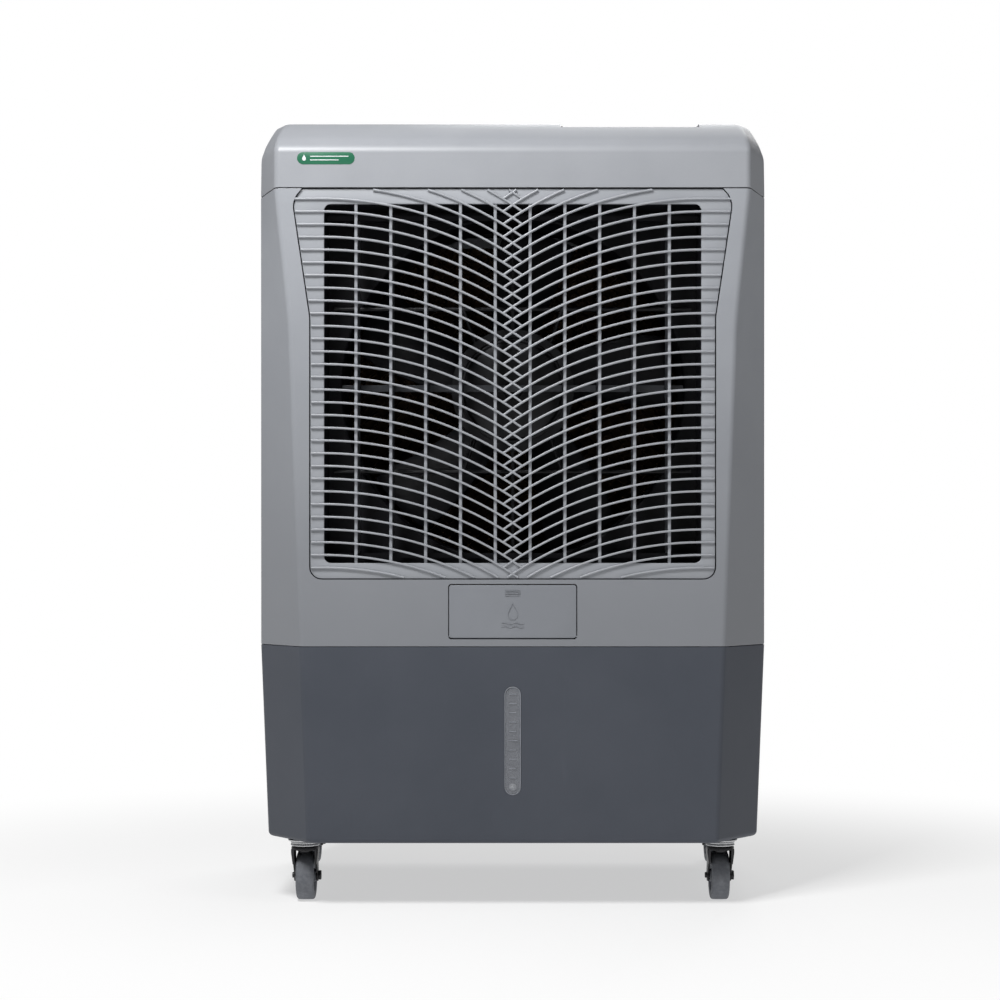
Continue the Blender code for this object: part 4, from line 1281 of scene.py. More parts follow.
@dataclass
class Louvres:
    """Swing vanes, the bar that links them and the duct that holds them."""

    chord: float = 0.040
    thickness: float = 0.0018
    link_half: float = 0.212
    slot: float = 0.0046
    crank: float = 0.0175
    blade_low: float = 0.4335
    blade_high: float = 0.8392
    notch_depth: float = 0.012
    notch_reach: float = 0.009
    shaft_radius: float = 0.0018
    pin_radius: float = 0.0014

    def vane(self, name: str, x: float) -> None:
        """One vane with its shaft, its notch and its crank pin.

        Args:
            name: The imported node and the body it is.
            x: Where it stands.
        """
        room, link = Room.of(name), Room.of("vane_link_bar")
        y = room.middle.y
        low, high, middle = self.blade_low, self.blade_high, link.middle.z
        front, back = y - self.chord / 2, y + self.chord / 2
        notch, reach = y + self.notch_depth, self.notch_reach
        corners = [
            (front, low, 0.003, 4), (back, low, 0.003, 4), (back, middle - reach, 0.002, 3),
            (notch, middle - reach, 0.002, 3), (notch, middle + reach, 0.002, 3),
            (back, middle + reach, 0.002, 3), (back, high, 0.003, 4), (front, high, 0.003, 4),
        ]
        half = self.thickness / 2
        blade = plate("blade", [rounded(corners)], Axis.X, x - half, x + half, half * 0.9)
        shaft = tube("shaft", [(x, y, room.low.z), (x, y, room.high.z)], self.shaft_radius)
        ends = [(x, y + self.crank, middle + way * (reach + 0.001)) for way in (-1, 1)]
        pin = tube("pin", ends, self.pin_radius)
        fit(merged(f"{name}_blade", [blade, shaft, pin]), Finish.VANE, name, name)

    def link(self, places: Sequence[float]) -> None:
        """The slotted bar that turns the vanes together.

        Args:
            places: Where the vanes stand.
        """
        room = Room.of("vane_link_bar")
        front, back, deep = room.low.y, room.high.y, room.low.y + 0.0060
        outline = [(-self.link_half, front)]
        for x in places:
            near, far = x - self.slot / 2, x + self.slot / 2
            outline += [(near, front), (near, deep), (far, deep), (far, front)]
        outline += [(self.link_half, front), (self.link_half, back), (-self.link_half, back)]
        bar = plate("vane_link", [outline], Axis.Z, room.low.z, room.high.z)
        fit(softened(bar, 0.0004), Finish.VANE, "vane_link", "vane_link_bar")

    def build(self, places: Sequence[float]) -> None:
        """Builds the vanes and their link, and keeps the duct.

        Args:
            places: Where the vanes stand.
        """
        for number, x in enumerate(places, start=1):
            self.vane(f"vane_{number:02d}", x)
        self.link(places)
        carry(Finish.INNER, "air_duct")
        motor = Room.of("swing_motor")
        spot, tall, radius = motor.middle, motor.high.z - motor.low.z, motor.high.x - motor.middle.x
        profile = [(0, tall), (radius - 0.003, tall)] + arc((radius - 0.003, tall - 0.003), 0.003, 90, -90, 5)
        profile += [(radius, 0.0006), (radius - 0.0006, 0), (0.0026, 0), (0.0026, 0.0125), (0, 0.0125)]
        case = turned("swing_gear_motor", profile, (spot.x, spot.y, motor.low.z))
        fit(case, Finish.WHITE, "cabinet", "swing_motor")


@dataclass
class FanUnit:
    """Shroud, motor on its mount, and the fan."""

    mouth: float = 0.2137
    fan_radius: float = 0.2085
    hub: float = 0.045
    blades: int = 5
    motor_radius: float = 0.066
    rod_rise: float = 0.102
    rod_half: float = 0.224
    fan_front: float = FRONT + 0.147
    fan_back: float = FRONT + 0.190
    motor_front: float = FRONT + 0.0775
    motor_length: float = 0.068
    motor_fins: int = 9
    stiffener_x: Place = (0.232, 0.252, 0.272)

    def blade(self, turn: float, front: float, back: float, z: float) -> Thing:
        """One twisted, cambered blade.

        Args:
            turn: Its place round the hub, in radians.
            front: Where the fan starts along Y.
            back: Where it ends.
            z: Height of the axis.

        Returns:
            The blade.
        """
        rows = []
        spans, chords = 12, 10
        for i in range(spans + 1):
            out = i / spans
            radius = 0.040 + (self.fan_radius - 0.0405) * out
            pitch = math.radians(42 - 20 * out)
            chord = (0.062 + 0.050 * out) * (1 - 0.12 * max(out - 0.85, 0) / 0.15)
            row = []
            for j in range(chords + 1):
                share = j / chords
                along = chord * (share - 0.5)
                camber = 0.006 * (1 - (2 * share - 1) ** 2)
                angle = turn + math.radians(10 * out) + along * math.cos(pitch) / radius
                y = (front + back) / 2 + along * math.sin(pitch) * 0.62 - camber + 0.002
                row.append((radius * math.sin(angle), y, z + radius * math.cos(angle)))
            rows.append(row)
        blade = loft("blade", rows, closed=False, mend=False)
        return settled(softened(walled(blade, 0.0022, 0), 0.0006))

    def fan(self) -> None:
        """Hub with its ribs and blades."""
        z, front, back = Room.of("fan").middle.z, self.fan_front, self.fan_back
        thick = back - front
        profile = [(0, thick), (self.hub - 0.008, thick)]
        profile += arc((self.hub - 0.008, thick - 0.008), 0.008, 90, -90, 6)
        profile += [(self.hub, 0.0006), (self.hub - 0.0006, 0), (0.0058, 0), (0.0058, 0.014), (0, 0.014)]
        parts = [turned("hub", profile, (0, front, z), Axis.Y, 64)]
        for i in range(self.blades):
            parts.append(self.blade(2 * math.pi * i / self.blades, front, back, z))
        fit(merged("fan_rotor", parts), Finish.INNER, "fan", "fan")

    def motor(self) -> None:
        """Motor can with cooling fins and end bells."""
        z, front = Room.of("fan_motor").middle.z, self.motor_front
        length, radius, fins = self.motor_length, self.motor_radius, self.motor_fins
        profile = [(0, 0.0), (0.010, 0.0), (0.012, 0.0015), (radius - 0.016, 0.0015), (radius - 0.006, 0.004)]
        for fin in range(fins):
            near = 0.008 + (length - 0.018) * fin / fins
            far = near + (length - 0.018) / fins * 0.55
            profile += [(radius - 0.0030, near), (radius, near + 0.0006)]
            profile += [(radius, far - 0.0006), (radius - 0.0030, far)]
        profile += [(radius - 0.001, length - 0.009), (radius - 0.010, length), (0.005, length),
                    (0.005, length + 0.012), (0, length + 0.012)]
        can = turned("fan_motor_can", profile, (0, front, z), Axis.Y, 64)
        fit(can, Finish.BLACK_STEEL, "cabinet", "fan_motor")

    def mount(self) -> None:
        """Wire mount: two long rods, a strap and short arms on a collar."""
        z = Room.of("fan_motor").middle.z
        y = Room.of("motor_mount").middle.y
        inner, outer, deep = self.motor_radius + 0.0006, 0.077, 0.0025
        ring = [(outer, deep - 0.0005), (outer - 0.0005, deep), (inner, deep), (inner, -deep),
                (outer - 0.0005, -deep), (outer, -deep + 0.0005)]
        parts = [turned("collar", ring, (0, y, z), Axis.Y, 64, ring=True)]
        for sign in (-1, 1):
            rod_z = z + sign * self.rod_rise
            parts.append(tube("rod", [(-self.rod_half, y, rod_z), (self.rod_half, y, rod_z)], 0.003))
            near, far = sorted((z + sign * 0.070, z + sign * 0.205))
            parts.append(block("strap", (-0.0025, y - 0.002, near), (0.0025, y + 0.002, far), 0.0006))
            for side in (-1, 1):
                start = (side * 0.046, y, z + sign * 0.056)
                parts.append(tube("arm", [start, (side * 0.062, y, rod_z)], 0.0025))
        fit(merged("motor_mount_wire", parts), Finish.BLACK_STEEL, "cabinet", "motor_mount")

    def stiffeners(self) -> list[Thing]:
        """Ribs on the shroud's plate, in rows beside the mouth."""
        front, z = Room.of("fan_shroud").low.y, Room.of("fan").middle.z
        ribs = []
        for side in (-1, 1):
            for x in self.stiffener_x:
                near, far = sorted((side * x - 0.0009, side * x + 0.0009))
                low, high = (near, front, z - 0.205), (far, front + 0.0032, z + 0.205)
                ribs.append(block("stiffener", low, high, 0.0004))
        return ribs

    def shroud(self) -> None:
        """Plate with a bell mouth round the fan."""
        room = Room.of("fan_shroud")
        z, front, depth = Room.of("fan").middle.z, room.low.y, room.high.y - room.low.y
        inner, wall = self.mouth, 0.0025
        outline = rectangle(room.low.x, room.high.x, room.low.z, room.high.z)
        wall_plate = plate("wall", [outline, circle(0, z, inner + 0.0035, 120)], Axis.Y, front, front + 0.003)
        lip = arc((inner + 0.004, 0.0042), 0.004, 180, 90, 6)
        ring = lip + [(inner + 0.005, 0.0030), (inner + wall + 0.001, 0.0050), (inner + wall, 0.007),
                      (inner + wall, depth), (inner, depth)]
        bell = turned("bell", ring, (0, front, z), Axis.Y, 120, ring=True)
        parts = [wall_plate, bell, *self.stiffeners()]
        fit(merged("fan_shroud_bell", parts), Finish.INNER, "cabinet", "fan_shroud")

    def build(self) -> None:
        """Builds the fan, its motor, mount and shroud."""
        self.fan()
        self.motor()
        self.mount()
        self.shroud()


@dataclass
class RearSide:
    """Louvred rear panel with its latches, and the cooling pad behind it."""

    rows: int = 20
    pitch_z: float = 0.0258
    slot_half: float = 0.124
    slot_rise: float = 0.0088
    column_x: float = 0.133
    sheet_pitch: float = 0.0092
    wave: float = 0.0185
    sheet_thickness: float = 0.0008

    def panel(self) -> None:
        """Framed panel with two columns of tilted slats."""
        room = Room.of("rear_panel")
        low, high = room.low, room.high
        front, back = low.y, high.y
        outline = soft_rectangle(low.x, high.x, low.z, high.z, 0.004, 4)
        middle, half, rise = (low.z + high.z) / 2, self.slot_half, self.slot_rise
        slots, slats = [], []
        for row in range(self.rows):
            z = middle + (row - (self.rows - 1) / 2) * self.pitch_z
            for x in (-self.column_x, self.column_x):
                slots.append(soft_rectangle(x - half, x + half, z - rise, z + rise, 0.003, 3))
                shape = rounded([
                    (back - 0.0010, z - 0.0088, 0.0005, 2), (back, z - 0.0080, 0.0004, 2),
                    (front + 0.0012, z + 0.0070, 0.0004, 2), (front, z + 0.0062, 0.0005, 2),
                ])
                slats.append(plate("slat", [shape], Axis.X, x - half - 0.0005, x + half + 0.0005))
        face = plate("face", [outline, *slots], Axis.Y, front, back, 0.0007)
        sizes = ((0.035, 0.013), (0.0325, 0.008))
        rims = [stadium(0, middle - reach, middle + reach, width) for reach, width in sizes]
        pull = plate("rim", rims, Axis.Y, back - 0.001, back + 0.0004, 0.0002)
        fit(merged("rear_louvre_panel", [face, *slats, pull]), Finish.GRILLE, "cabinet", "rear_panel")

    def latches(self) -> None:
        """Quarter-turn latches at both sides."""
        for name, side in (("panel_latch_left", -1), ("panel_latch_right", 1)):
            room = Room.of(name)
            x, y, z = side * FASTENER_X, room.low.y, room.middle.z
            profile = [(0, 0.0075), (0.0053, 0.0075), (0.0063, 0.0066), (0.0065, 0.0058), (0.0065, 0), (0, 0)]
            boss = turned("boss", profile, (x, y, z), Axis.Y, 40)
            near, far = sorted((x, x - side * 0.030))
            outline = soft_rectangle(near, far, z - 0.006, z + 0.006, 0.0045, 6)
            lever = plate("lever", [outline], Axis.Y, y, y + 0.0036, 0.0009)
            low, high = (x - 0.0009, y + 0.0070, z - 0.0045), (x + 0.0009, y + 0.0079, z + 0.0045)
            grip = block("grip", low, high, 0.0002)
            fit(merged(f"{name}_lever", [boss, lever, grip]), Finish.BLACK, name, name)

    def pad(self) -> None:
        """Corrugated sheets set on edge, each wave against the next, round a backing sheet."""
        room = Room.of("cooling_pad")
        inset = Vector((0.0005, 0.0005, 0.0005))
        low, high = room.low + inset, room.high - inset
        count = int((high.x - low.x) / self.sheet_pitch)
        steps = int((high.z - low.z) / self.wave * 8)
        half, sheets = self.sheet_thickness / 2, []
        for sheet in range(count):
            x = low.x + (sheet + 0.5) * (high.x - low.x) / count
            sign = 1 if sheet % 2 else -1
            rows = []
            for step in range(steps + 1):
                z = low.z + (high.z - low.z) * step / steps
                turn = 2 * math.pi * (z - low.z) / self.wave
                shift = sign * (self.sheet_pitch / 2 - half) * math.sin(turn)
                left, right = x + shift - half, x + shift + half
                corners = ((left, low.y), (right, low.y), (right, high.y), (left, high.y))
                rows.append([(px, py, z) for px, py in corners])
            sheets.append(loft("sheet", rows, low=True, high=True, mend=False))
        middle = room.middle.y
        core = block("core", (low.x, middle - 0.0005, low.z), (high.x, middle + 0.0005, high.z), 0.0002)
        fit(merged("cooling_pad_media", [*sheets, core]), Finish.PAD, "cabinet", "cooling_pad")

    def build(self) -> None:
        """Builds panel, latches and pad, and keeps the pad's frame and trough."""
        self.panel()
        self.latches()
        self.pad()
        carry(Finish.GRILLE, "pad_frame")
        carry(Finish.BLACK, "water_distributor")


@dataclass
class FillDoor:
    """Tilting door in the front, the chute behind it and its touch latch."""

    half: float = 0.0775
    low: float = 0.3277
    high: float = 0.3927
    thickness: float = 0.003
    recess: float = 0.0008
    line: float = 0.0008
    axis_y: float = FRONT + 0.0018
    axis_z: float = 0.3296
    cheek_radius: float = 0.056
    cheek_x: float = 0.069

    def symbol(self) -> list[Thing]:
        """Raised lines: a drop over two waves, and the grip lines above them."""
        front, back = FRONT, FRONT + 0.0016
        x, z = 0.0, (self.low + self.high) / 2 - 0.004
        drop = [(x, z + 0.0135)] + arc((x, z), 0.0060, 33, -246, 22)
        parts = [strip("drop", drop, self.line, front, back, closed=True)]
        for row in (0, 1):
            base, half = z - 0.0105 - row * 0.0042, 0.0135
            turns = [step / 24 for step in range(25)]
            wave = [(x + half * (t * 2 - 1), base + 0.0009 * math.sin(t * 4 * math.pi)) for t in turns]
            parts.append(strip("wave", wave, self.line, front, back))
        for row in range(4):
            level = self.high - 0.0068 - row * 0.0021
            parts.append(strip("grip", [(x - 0.0090, level), (x + 0.0090, level)], self.line, front, back))
        return parts

    def build(self) -> None:
        """Builds the door with its cheeks and pins, and the latch's plunger."""
        room = Room.of("fill_door")
        outline = soft_rectangle(-self.half, self.half, self.low, self.high, 0.0036)
        front = FRONT + self.recess
        leaf = plate("leaf", [outline], Axis.Y, front, FRONT + self.thickness, 0.0009)
        axis_y, axis_z, radius = self.axis_y, self.axis_z, self.cheek_radius
        pin = tube("pin", [(room.low.x, axis_y, axis_z), (room.high.x, axis_y, axis_z)], 0.0009)
        sector = [(axis_y + 0.0005, axis_z + 0.004)]
        sector += [(axis_y + z, axis_z + y) for y, z in arc((0, 0), radius, 0, 48, 24)]
        places = (-self.cheek_x, self.cheek_x)
        cheeks = [plate("cheek", [sector], Axis.X, x - 0.001, x + 0.001, 0.0003) for x in places]
        parts = [leaf, pin, *cheeks, *self.symbol()]
        fit(merged("fill_door_leaf", parts), Finish.DOOR, "door", "fill_door")
        carry(Finish.BLACK, "fill_chute")
        latch = Room.of("touch_latch")
        plunger = block("latch_plunger", latch.low, latch.high, 0.0012)
        fit(plunger, Finish.WHITE, "latch", "touch_latch")


@dataclass
class LevelGauge:
    """Clear window with raised marks, and the float ball behind it."""

    marks: int = 10
    first_mark: float = 0.2596
    mark_pitch: float = 0.01129
    long_mark: int = 5
    ball: float = 0.0046

    def build(self) -> None:
        """Builds the window and the ball, and keeps the channel."""
        room = Room.of("level_window")
        low, high, wide = room.low.z, room.high.z, room.high.x * 2
        front, back = room.low.y, room.high.y
        outline = stadium(0, low, high, wide)
        face = plate("level_window_face", [outline], Axis.Y, front + 0.0009, back, 0.0003)
        fit(face, Finish.WINDOW, "cabinet", "level_window")
        edges = [stadium(0, low + inset, high - inset, wide - inset * 2) for inset in (0.0, 0.0011)]
        parts = [plate("rim", edges, Axis.Y, front, front + 0.0014, 0.0004)]
        for mark in range(self.marks):
            z = self.first_mark - self.mark_pitch * mark
            half = 0.0060 if mark == self.long_mark else 0.0043
            parts.append(strip("mark", [(-half, z), (half, z)], 0.0010, front + 0.0004, front + 0.0012))
        fit(merged("level_window_marks", parts), Finish.MARKS, "cabinet")
        carry(Finish.BLACK, "level_guide")
        r = self.ball
        profile = arc((0, 0), r, 90, -88, 12) + [(r, 0.0001), (r * 0.97, 0.0), (r, -0.0001)]
        profile += arc((0, 0), r, -2, -88, 12)
        ball = turned("level_float_ball", profile, Room.of("level_float").middle, steps=32)
        fit(ball, Finish.WHITE, "level_float", "level_float")


@dataclass
class WaterParts:
    """Pump, hose, hose inlet with its float, drain plug and cable gland."""

    hose: float = 0.0055

    def pump(self) -> None:
        """Submersible pump with a slotted strainer."""
        room = Room.of("pump")
        x, y, foot = room.middle.x, room.middle.y, room.low.z
        profile = [(0, 0.086), (0.0046, 0.086), (0.0050, 0.0852), (0.0050, 0.064), (0.020, 0.0628),
                   (0.0250, 0.0600), (0.027, 0.0555), (0.027, 0.0145), (0.031, 0.0120)]
        for groove in range(3):
            z = 0.0100 - groove * 0.0030
            profile += [(0.031, z), (0.0285, z - 0.0004), (0.0285, z - 0.0014), (0.031, z - 0.0018)]
        profile += [(0.031, 0.0), (0, 0)]
        fit(turned("pump_case", profile, (x, y, foot), steps=56), Finish.BLACK, "cabinet", "pump")

    def pump_hose(self) -> None:
        """The hose along its clipped route to the trough."""
        floor = Room.of("pump").high.z
        x, y = Room.of("pump").middle.x, Room.of("pump").middle.y
        route = [
            (x, y, floor + 0.0006), (x, y, 0.200), (0.226, 0.064, 0.250), (0.262, 0.078, 0.310),
            (0.287, 0.088, 0.370), (0.292, 0.092, 0.450), (0.292, 0.092, 0.600), (0.292, 0.092, 0.760),
            (0.291, 0.096, 0.850), (0.284, 0.110, 0.893), (0.266, 0.138, 0.907), (0.243, 0.160, 0.907),
            (0.230, 0.165, 0.898), (0.226, 0.165, 0.882),
        ]
        fit(tube("pump_hose_run", smooth_route(route, 8), self.hose, 6), Finish.HOSE, "cabinet", "pump_hose")

    def inlet(self) -> None:
        """Hose inlet with a ringed spigot and a round flange, and its float arm."""
        valve = Room.of("float_valve")
        x, z = valve.middle.x, valve.middle.z
        start = valve.low.y
        profile = [(0, 0.0390), (0.0078, 0.0390), (0.0082, 0.0386)]
        for thread in range(4):
            y = 0.0380 - thread * 0.0018
            profile += [(0.0082, y), (0.0076, y - 0.0005), (0.0076, y - 0.0009), (0.0082, y - 0.0014)]
        profile += [(0.0080, 0.0302), (0.0126, 0.0302), (0.0130, 0.0298), (0.0130, 0.0254), (0.0078, 0.0254),
                    (0.0078, 0.0006), (0.0072, 0), (0, 0)]
        fit(turned("hose_inlet", profile, (x, start, z), Axis.Y), Finish.WHITE, "cabinet", "float_valve")
        pivot = Vector((x, BACK - 0.0210, z - 0.0120))
        slope = math.radians(-35)
        end = pivot + Vector((0, -math.cos(slope), math.sin(slope))) * 0.080
        half, r = 0.020, 0.017
        bulb = [(0, half), (r - 0.005, half)] + arc((r - 0.005, half - 0.005), 0.005, 90, -90, 5)
        bulb += [(r, 0.0005), (r - 0.0004, 0), (r, -0.0005)]
        bulb += arc((r - 0.005, -half + 0.005), 0.005, 0, -90, 5) + [(0, -half)]
        parts = [
            tube("barrel", [pivot - Vector((0.007, 0, 0)), pivot + Vector((0.007, 0, 0))], 0.003),
            tube("arm", [pivot, end], 0.0018),
            turned("bulb", bulb, end, Axis.X),
        ]
        fit(merged("float_arm_bulb", parts), Finish.WHITE, "float_arm", "float_arm")

    def fittings(self) -> None:
        """Drain plug with its finger bar, and the gland of the mains lead."""
        plug = Room.of("drain_plug")
        x, z = plug.middle.x, plug.middle.z
        profile = [(0, 0.0105), (0.0145, 0.0105), (0.0157, 0.0100), (0.0160, 0.0090), (0.0160, 0.0046),
                   (0.0108, 0.0046), (0.0108, 0.0005), (0.0103, 0), (0, 0)]
        disc = turned("disc", profile, (x, BACK - 0.0042, z), Axis.Y)
        low, high = (x - 0.011, BACK + 0.004, z - 0.0025), (x + 0.011, BACK + 0.0125, z + 0.0025)
        bar = block("bar", low, high, 0.0009)
        fit(merged("drain_plug_cap", [disc, bar]), Finish.BLACK, "drain_plug", "drain_plug")
        gland = Room.of("cable_gland")
        spot = (gland.middle.x, gland.low.y, gland.middle.z)
        profile = [(0, 0.0020), (0.0032, 0.0020), (0.0036, 0.0024), (0.0036, 0.0121), (0.0040, 0.0125),
                   (0.0054, 0.0125), (0.0058, 0.0119), (0.0078, 0.0052), (0.0102, 0.0040), (0.0105, 0.0036),
                   (0.0105, 0), (0, 0)]
        fit(turned("mains_gland", profile, spot, Axis.Y, 40), Finish.BLACK, "cabinet", "cable_gland")

    def build(self) -> None:
        """Builds all the water parts."""
        self.pump()
        self.pump_hose()
        self.inlet()
        self.fittings()


@dataclass
class Controls:
    """Control panel in the lid, with printed dials and three knobs."""

    radius: float = 0.019
    tick: float = 0.0007
    proud: float = 0.0002
    thickness: float = 0.0032
    wall: float = 0.0025
    rim_start: float = FRONT + 0.066
    flutes: int = 30

    def dial(self, x: float, y: float, top: float, sweep: float, marks: int) -> list[Thing]:
        """Printed marks round a knob.

        Args:
            x: Where the knob stands.
            y: Where the knob stands.
            top: Height of the panel.
            sweep: Angle that the marks cover, in degrees.
            marks: How many marks there are.

        Returns:
            The marks.
        """
        ticks = []
        near, far, half = self.radius + 0.0015, self.radius + 0.0042, self.tick / 2
        for mark in range(marks):
            angle = math.radians(90 - sweep * mark / (marks - 1))
            across, up = math.cos(angle), math.sin(angle)
            corners = ((near, 1), (near, -1), (far, -1), (far, 1))
            outline = [
                (x + across * out - up * half * way, y + up * out + across * half * way)
                for out, way in corners
            ]
            ticks.append(plate("tick", [outline], Axis.Z, top - 0.0002, top + self.proud))
        return ticks

    def knob(self, name: str) -> None:
        """One turning knob with a ridge and a pointer line.

        Args:
            name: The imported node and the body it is.
        """
        room = Room.of(name)
        x, y, foot, r = room.middle.x, room.middle.y, room.high.z - 0.0190, self.radius
        profile = [(0.0, 0.0132), (r - 0.0065, 0.0132), (r - 0.0045, 0.0150), (r - 0.0028, 0.0150)]
        profile += arc((r - 0.0028, 0.0132), 0.0018, 80, -80, 5)
        profile += [(r, 0.0004), (r - 0.0004, 0.0), (0.0036, 0.0), (0.0036, -0.0100), (0.0, -0.0100)]
        body = turned("body", profile, (x, y, foot), steps=64)
        low, high = (x - 0.0035, y - 0.0162, foot + 0.010), (x + 0.0035, y + 0.0162, room.high.z)
        ridge = block("ridge", low, high, 0.0014)
        flutes = []
        for flute in range(self.flutes):
            angle = 2 * math.pi * flute / self.flutes
            place = (x + r * 0.985 * math.cos(angle), y + r * 0.985 * math.sin(angle))
            flutes.append(tube("flute", [(*place, foot + 0.0012), (*place, foot + 0.0118)], 0.0005, 1))
        fit(merged(f"{name}_cap", [body, ridge, *flutes]), Finish.BLACK, name, name)
        outline = soft_rectangle(x - 0.0006, x + 0.0006, y + 0.002, y + 0.0150, 0.0005, 3)
        top = room.high.z
        line = plate(f"{name}_pointer", [outline], Axis.Z, top - 0.0003, top + 0.00015)
        fit(line, Finish.PRINT, name)

    def build(self) -> None:
        """Builds the panel, its print and the knobs."""
        room = Room.of("control_panel")
        low, high = room.low, room.high
        top, wall, start = low.z + self.thickness, self.wall, self.rim_start
        knobs = {"speed_knob": (210, 4), "pump_knob": (90, 2), "swing_knob": (90, 2)}
        places = {name: Room.of(name).middle for name in knobs}
        holes = [circle(spot.x, spot.y, 0.0042) for spot in places.values()]
        outline = soft_rectangle(low.x, high.x, low.y, high.y, 0.0018, 4)
        rim = [
            (low.x, start), (low.x + wall, start), (low.x + wall, high.y - wall),
            (high.x - wall, high.y - wall), (high.x - wall, start), (high.x, start),
            (high.x, high.y), (low.x, high.y),
        ]
        parts = [
            plate("floor", [outline, *holes], Axis.Z, low.z, top, 0.0004),
            plate("rim", [rim], Axis.Z, top - 0.001, high.z - 0.0022, 0.0005),
        ]
        for near in (low.x, high.x - wall):
            cheek = (near, start - 0.015, top - 0.001), (near + wall, start + 0.001, top + 0.003)
            parts.append(block("cheek", *cheek, 0.0005))
        fit(merged("control_tray", parts), Finish.BLACK, "cabinet", "control_panel")
        prints = []
        for name, (sweep, marks) in knobs.items():
            prints += self.dial(places[name].x, places[name].y, top, sweep, marks)
            self.knob(name)
        edges = [
            soft_rectangle(low.x + gap, high.x - gap, low.y + gap, high.y - gap, 0.004, 5)
            for gap in (wall + 0.0020, wall + 0.0025)
        ]
        prints.append(plate("border", edges, Axis.Z, top - 0.0002, top + self.proud))
        fit(merged("control_print", prints), Finish.PRINT, "cabinet")


@dataclass
class Caster:
    """One swivel caster: plate with its ball race, fork, axle and wheel."""

    name: str
    trail: float = 0.018
    radius: float = 0.030
    half: float = 0.0117
    inner: float = 0.0125
    axle: float = 0.0035
    race: float = 0.017

    def plate_and_race(self) -> None:
        """Round top plate and the plated race under it."""
        room = Room.of(f"{self.name}_plate")
        centre, foot = room.middle, room.low.z
        r, race = room.high.x - centre.x, self.race
        profile = [(0, 0.0086), (r - 0.0003, 0.0086), (r, 0.0082), (r, 0.0072), (r - 0.0006, 0.0066)]
        profile += [(race + 0.0012, 0.0062)] + arc((race - 0.0004, 0.0047), 0.0012, 70, -140, 6)
        profile += [(race - 0.0010, 0.0031)] + arc((race - 0.0004, 0.0017), 0.0012, 70, -140, 6)
        profile += [(race - 0.0025, 0), (0, 0)]
        piece = turned(f"{self.name}_race", profile, (centre.x, centre.y, foot), steps=56)
        fit(piece, Finish.ZINC, "cabinet", f"{self.name}_plate")

    def fork(self) -> None:
        """Pressed fork: a dished disc with two legs."""
        room = Room.of(f"{self.name}_fork")
        plate_room = Room.of(f"{self.name}_plate")
        x, y, race = room.middle.x, plate_room.middle.y, self.race
        profile = [(0, 0.0686), (race - 0.0012, 0.0686), (race - 0.0003, 0.0682), (race, 0.0674),
                   (race, 0.0650), (race - 0.0005, 0.0645), (0, 0.0645)]
        parts = [turned("disc", profile, (x, y, 0), steps=56)]
        inner = self.inner
        eye = arc((y + self.trail, self.radius), 0.0075, -200, 225, 20)
        outline = [(y - 0.0115, 0.0660), (y - 0.0095, 0.0560), *eye,
                   (y + 0.0165, 0.0560), (y + 0.0160, 0.0660)]
        hole = circle(y + self.trail, self.radius, self.axle + 0.0003)
        for low in (-inner - 0.0025, inner):
            parts.append(plate("leg", [outline, hole], Axis.X, x + low, x + low + 0.0025, 0.0006))
        web = (x - inner - 0.001, y + 0.0135, 0.0615), (x + inner + 0.001, y + 0.0158, 0.0660)
        parts.append(block("web", *web, 0.0007))
        nut = [(0, 0.0645), (0.0088, 0.0645), (0.0092, 0.0638), (0.0088, 0.0618), (0, 0.0618)]
        parts.append(turned("kingpin", nut, (x, y, 0), steps=32))
        for side in (-1, 1):
            wing = [(inner, 0.0655), (race - 0.0004, 0.0655), (race - 0.0004, 0.0610),
                    (inner + 0.0022, 0.0470), (inner, 0.0470)]
            outline = [(x + side * across, up) for across, up in wing]
            parts.append(plate("wing", [outline], Axis.Y, y - 0.0090, y + 0.0145, 0.0004))
        fork = f"{self.name}_fork"
        fit(merged(f"{self.name}_yoke", parts), Finish.BLACK_STEEL, fork, fork)

    def axle_bolt(self) -> None:
        """Bolt through the wheel with a hexagonal head."""
        room = Room.of(f"{self.name}_axle")
        x, y, z = Room.of(f"{self.name}_wheel").middle.x, room.middle.y, self.radius
        near, far, r = room.low.x - x, room.high.x - x, self.axle
        bolt = [(0, far - 0.0006), (r - 0.0004, far - 0.0006), (r, far - 0.0010), (r, near + 0.0004),
                (r - 0.0004, near), (0, near)]
        shank = turned("shank", bolt, (x, y, z), Axis.X, 28)
        hexagon = [(y + py, z + pz) for py, pz in circle(0, 0, 0.0062, 6)]
        head = plate("head", [hexagon], Axis.X, room.high.x - 0.0034, room.high.x, 0.0005)
        piece = merged(f"{self.name}_bolt", [shank, head])
        fit(piece, Finish.BLACK_STEEL, f"{self.name}_fork", f"{self.name}_axle")

    def wheel(self) -> None:
        """Wheel with a rounded tread, a stepped side and a bored hub."""
        room = Room.of(f"{self.name}_wheel")
        t, h, hub = self.radius, self.half, self.axle + 0.0004
        side = [(hub, h), (hub + 0.0032, h), (hub + 0.0040, h - 0.0006), (hub + 0.0042, h - 0.0034),
                (t - 0.0135, h - 0.0034), (t - 0.0130, h - 0.0030), (t - 0.0105, h - 0.0016),
                (t - 0.0098, h - 0.0010)]
        crown = arc((t - 0.0036, h - 0.0041), 0.0036, 90, -72, 6)
        right = side + crown + [(t, h * 0.25)]
        left = [(r, -x) for r, x in reversed(right)]
        profile = right + [(t, 0.0)] + left
        centre = (room.middle.x, room.middle.y, self.radius)
        piece = turned(f"{self.name}_tyre", profile, centre, Axis.X, 72, ring=True)
        fit(piece, Finish.TREAD, f"{self.name}_wheel", f"{self.name}_wheel")

    def build(self) -> None:
        """Builds the four pieces."""
        self.plate_and_race()
        self.fork()
        self.axle_bolt()
        self.wheel()


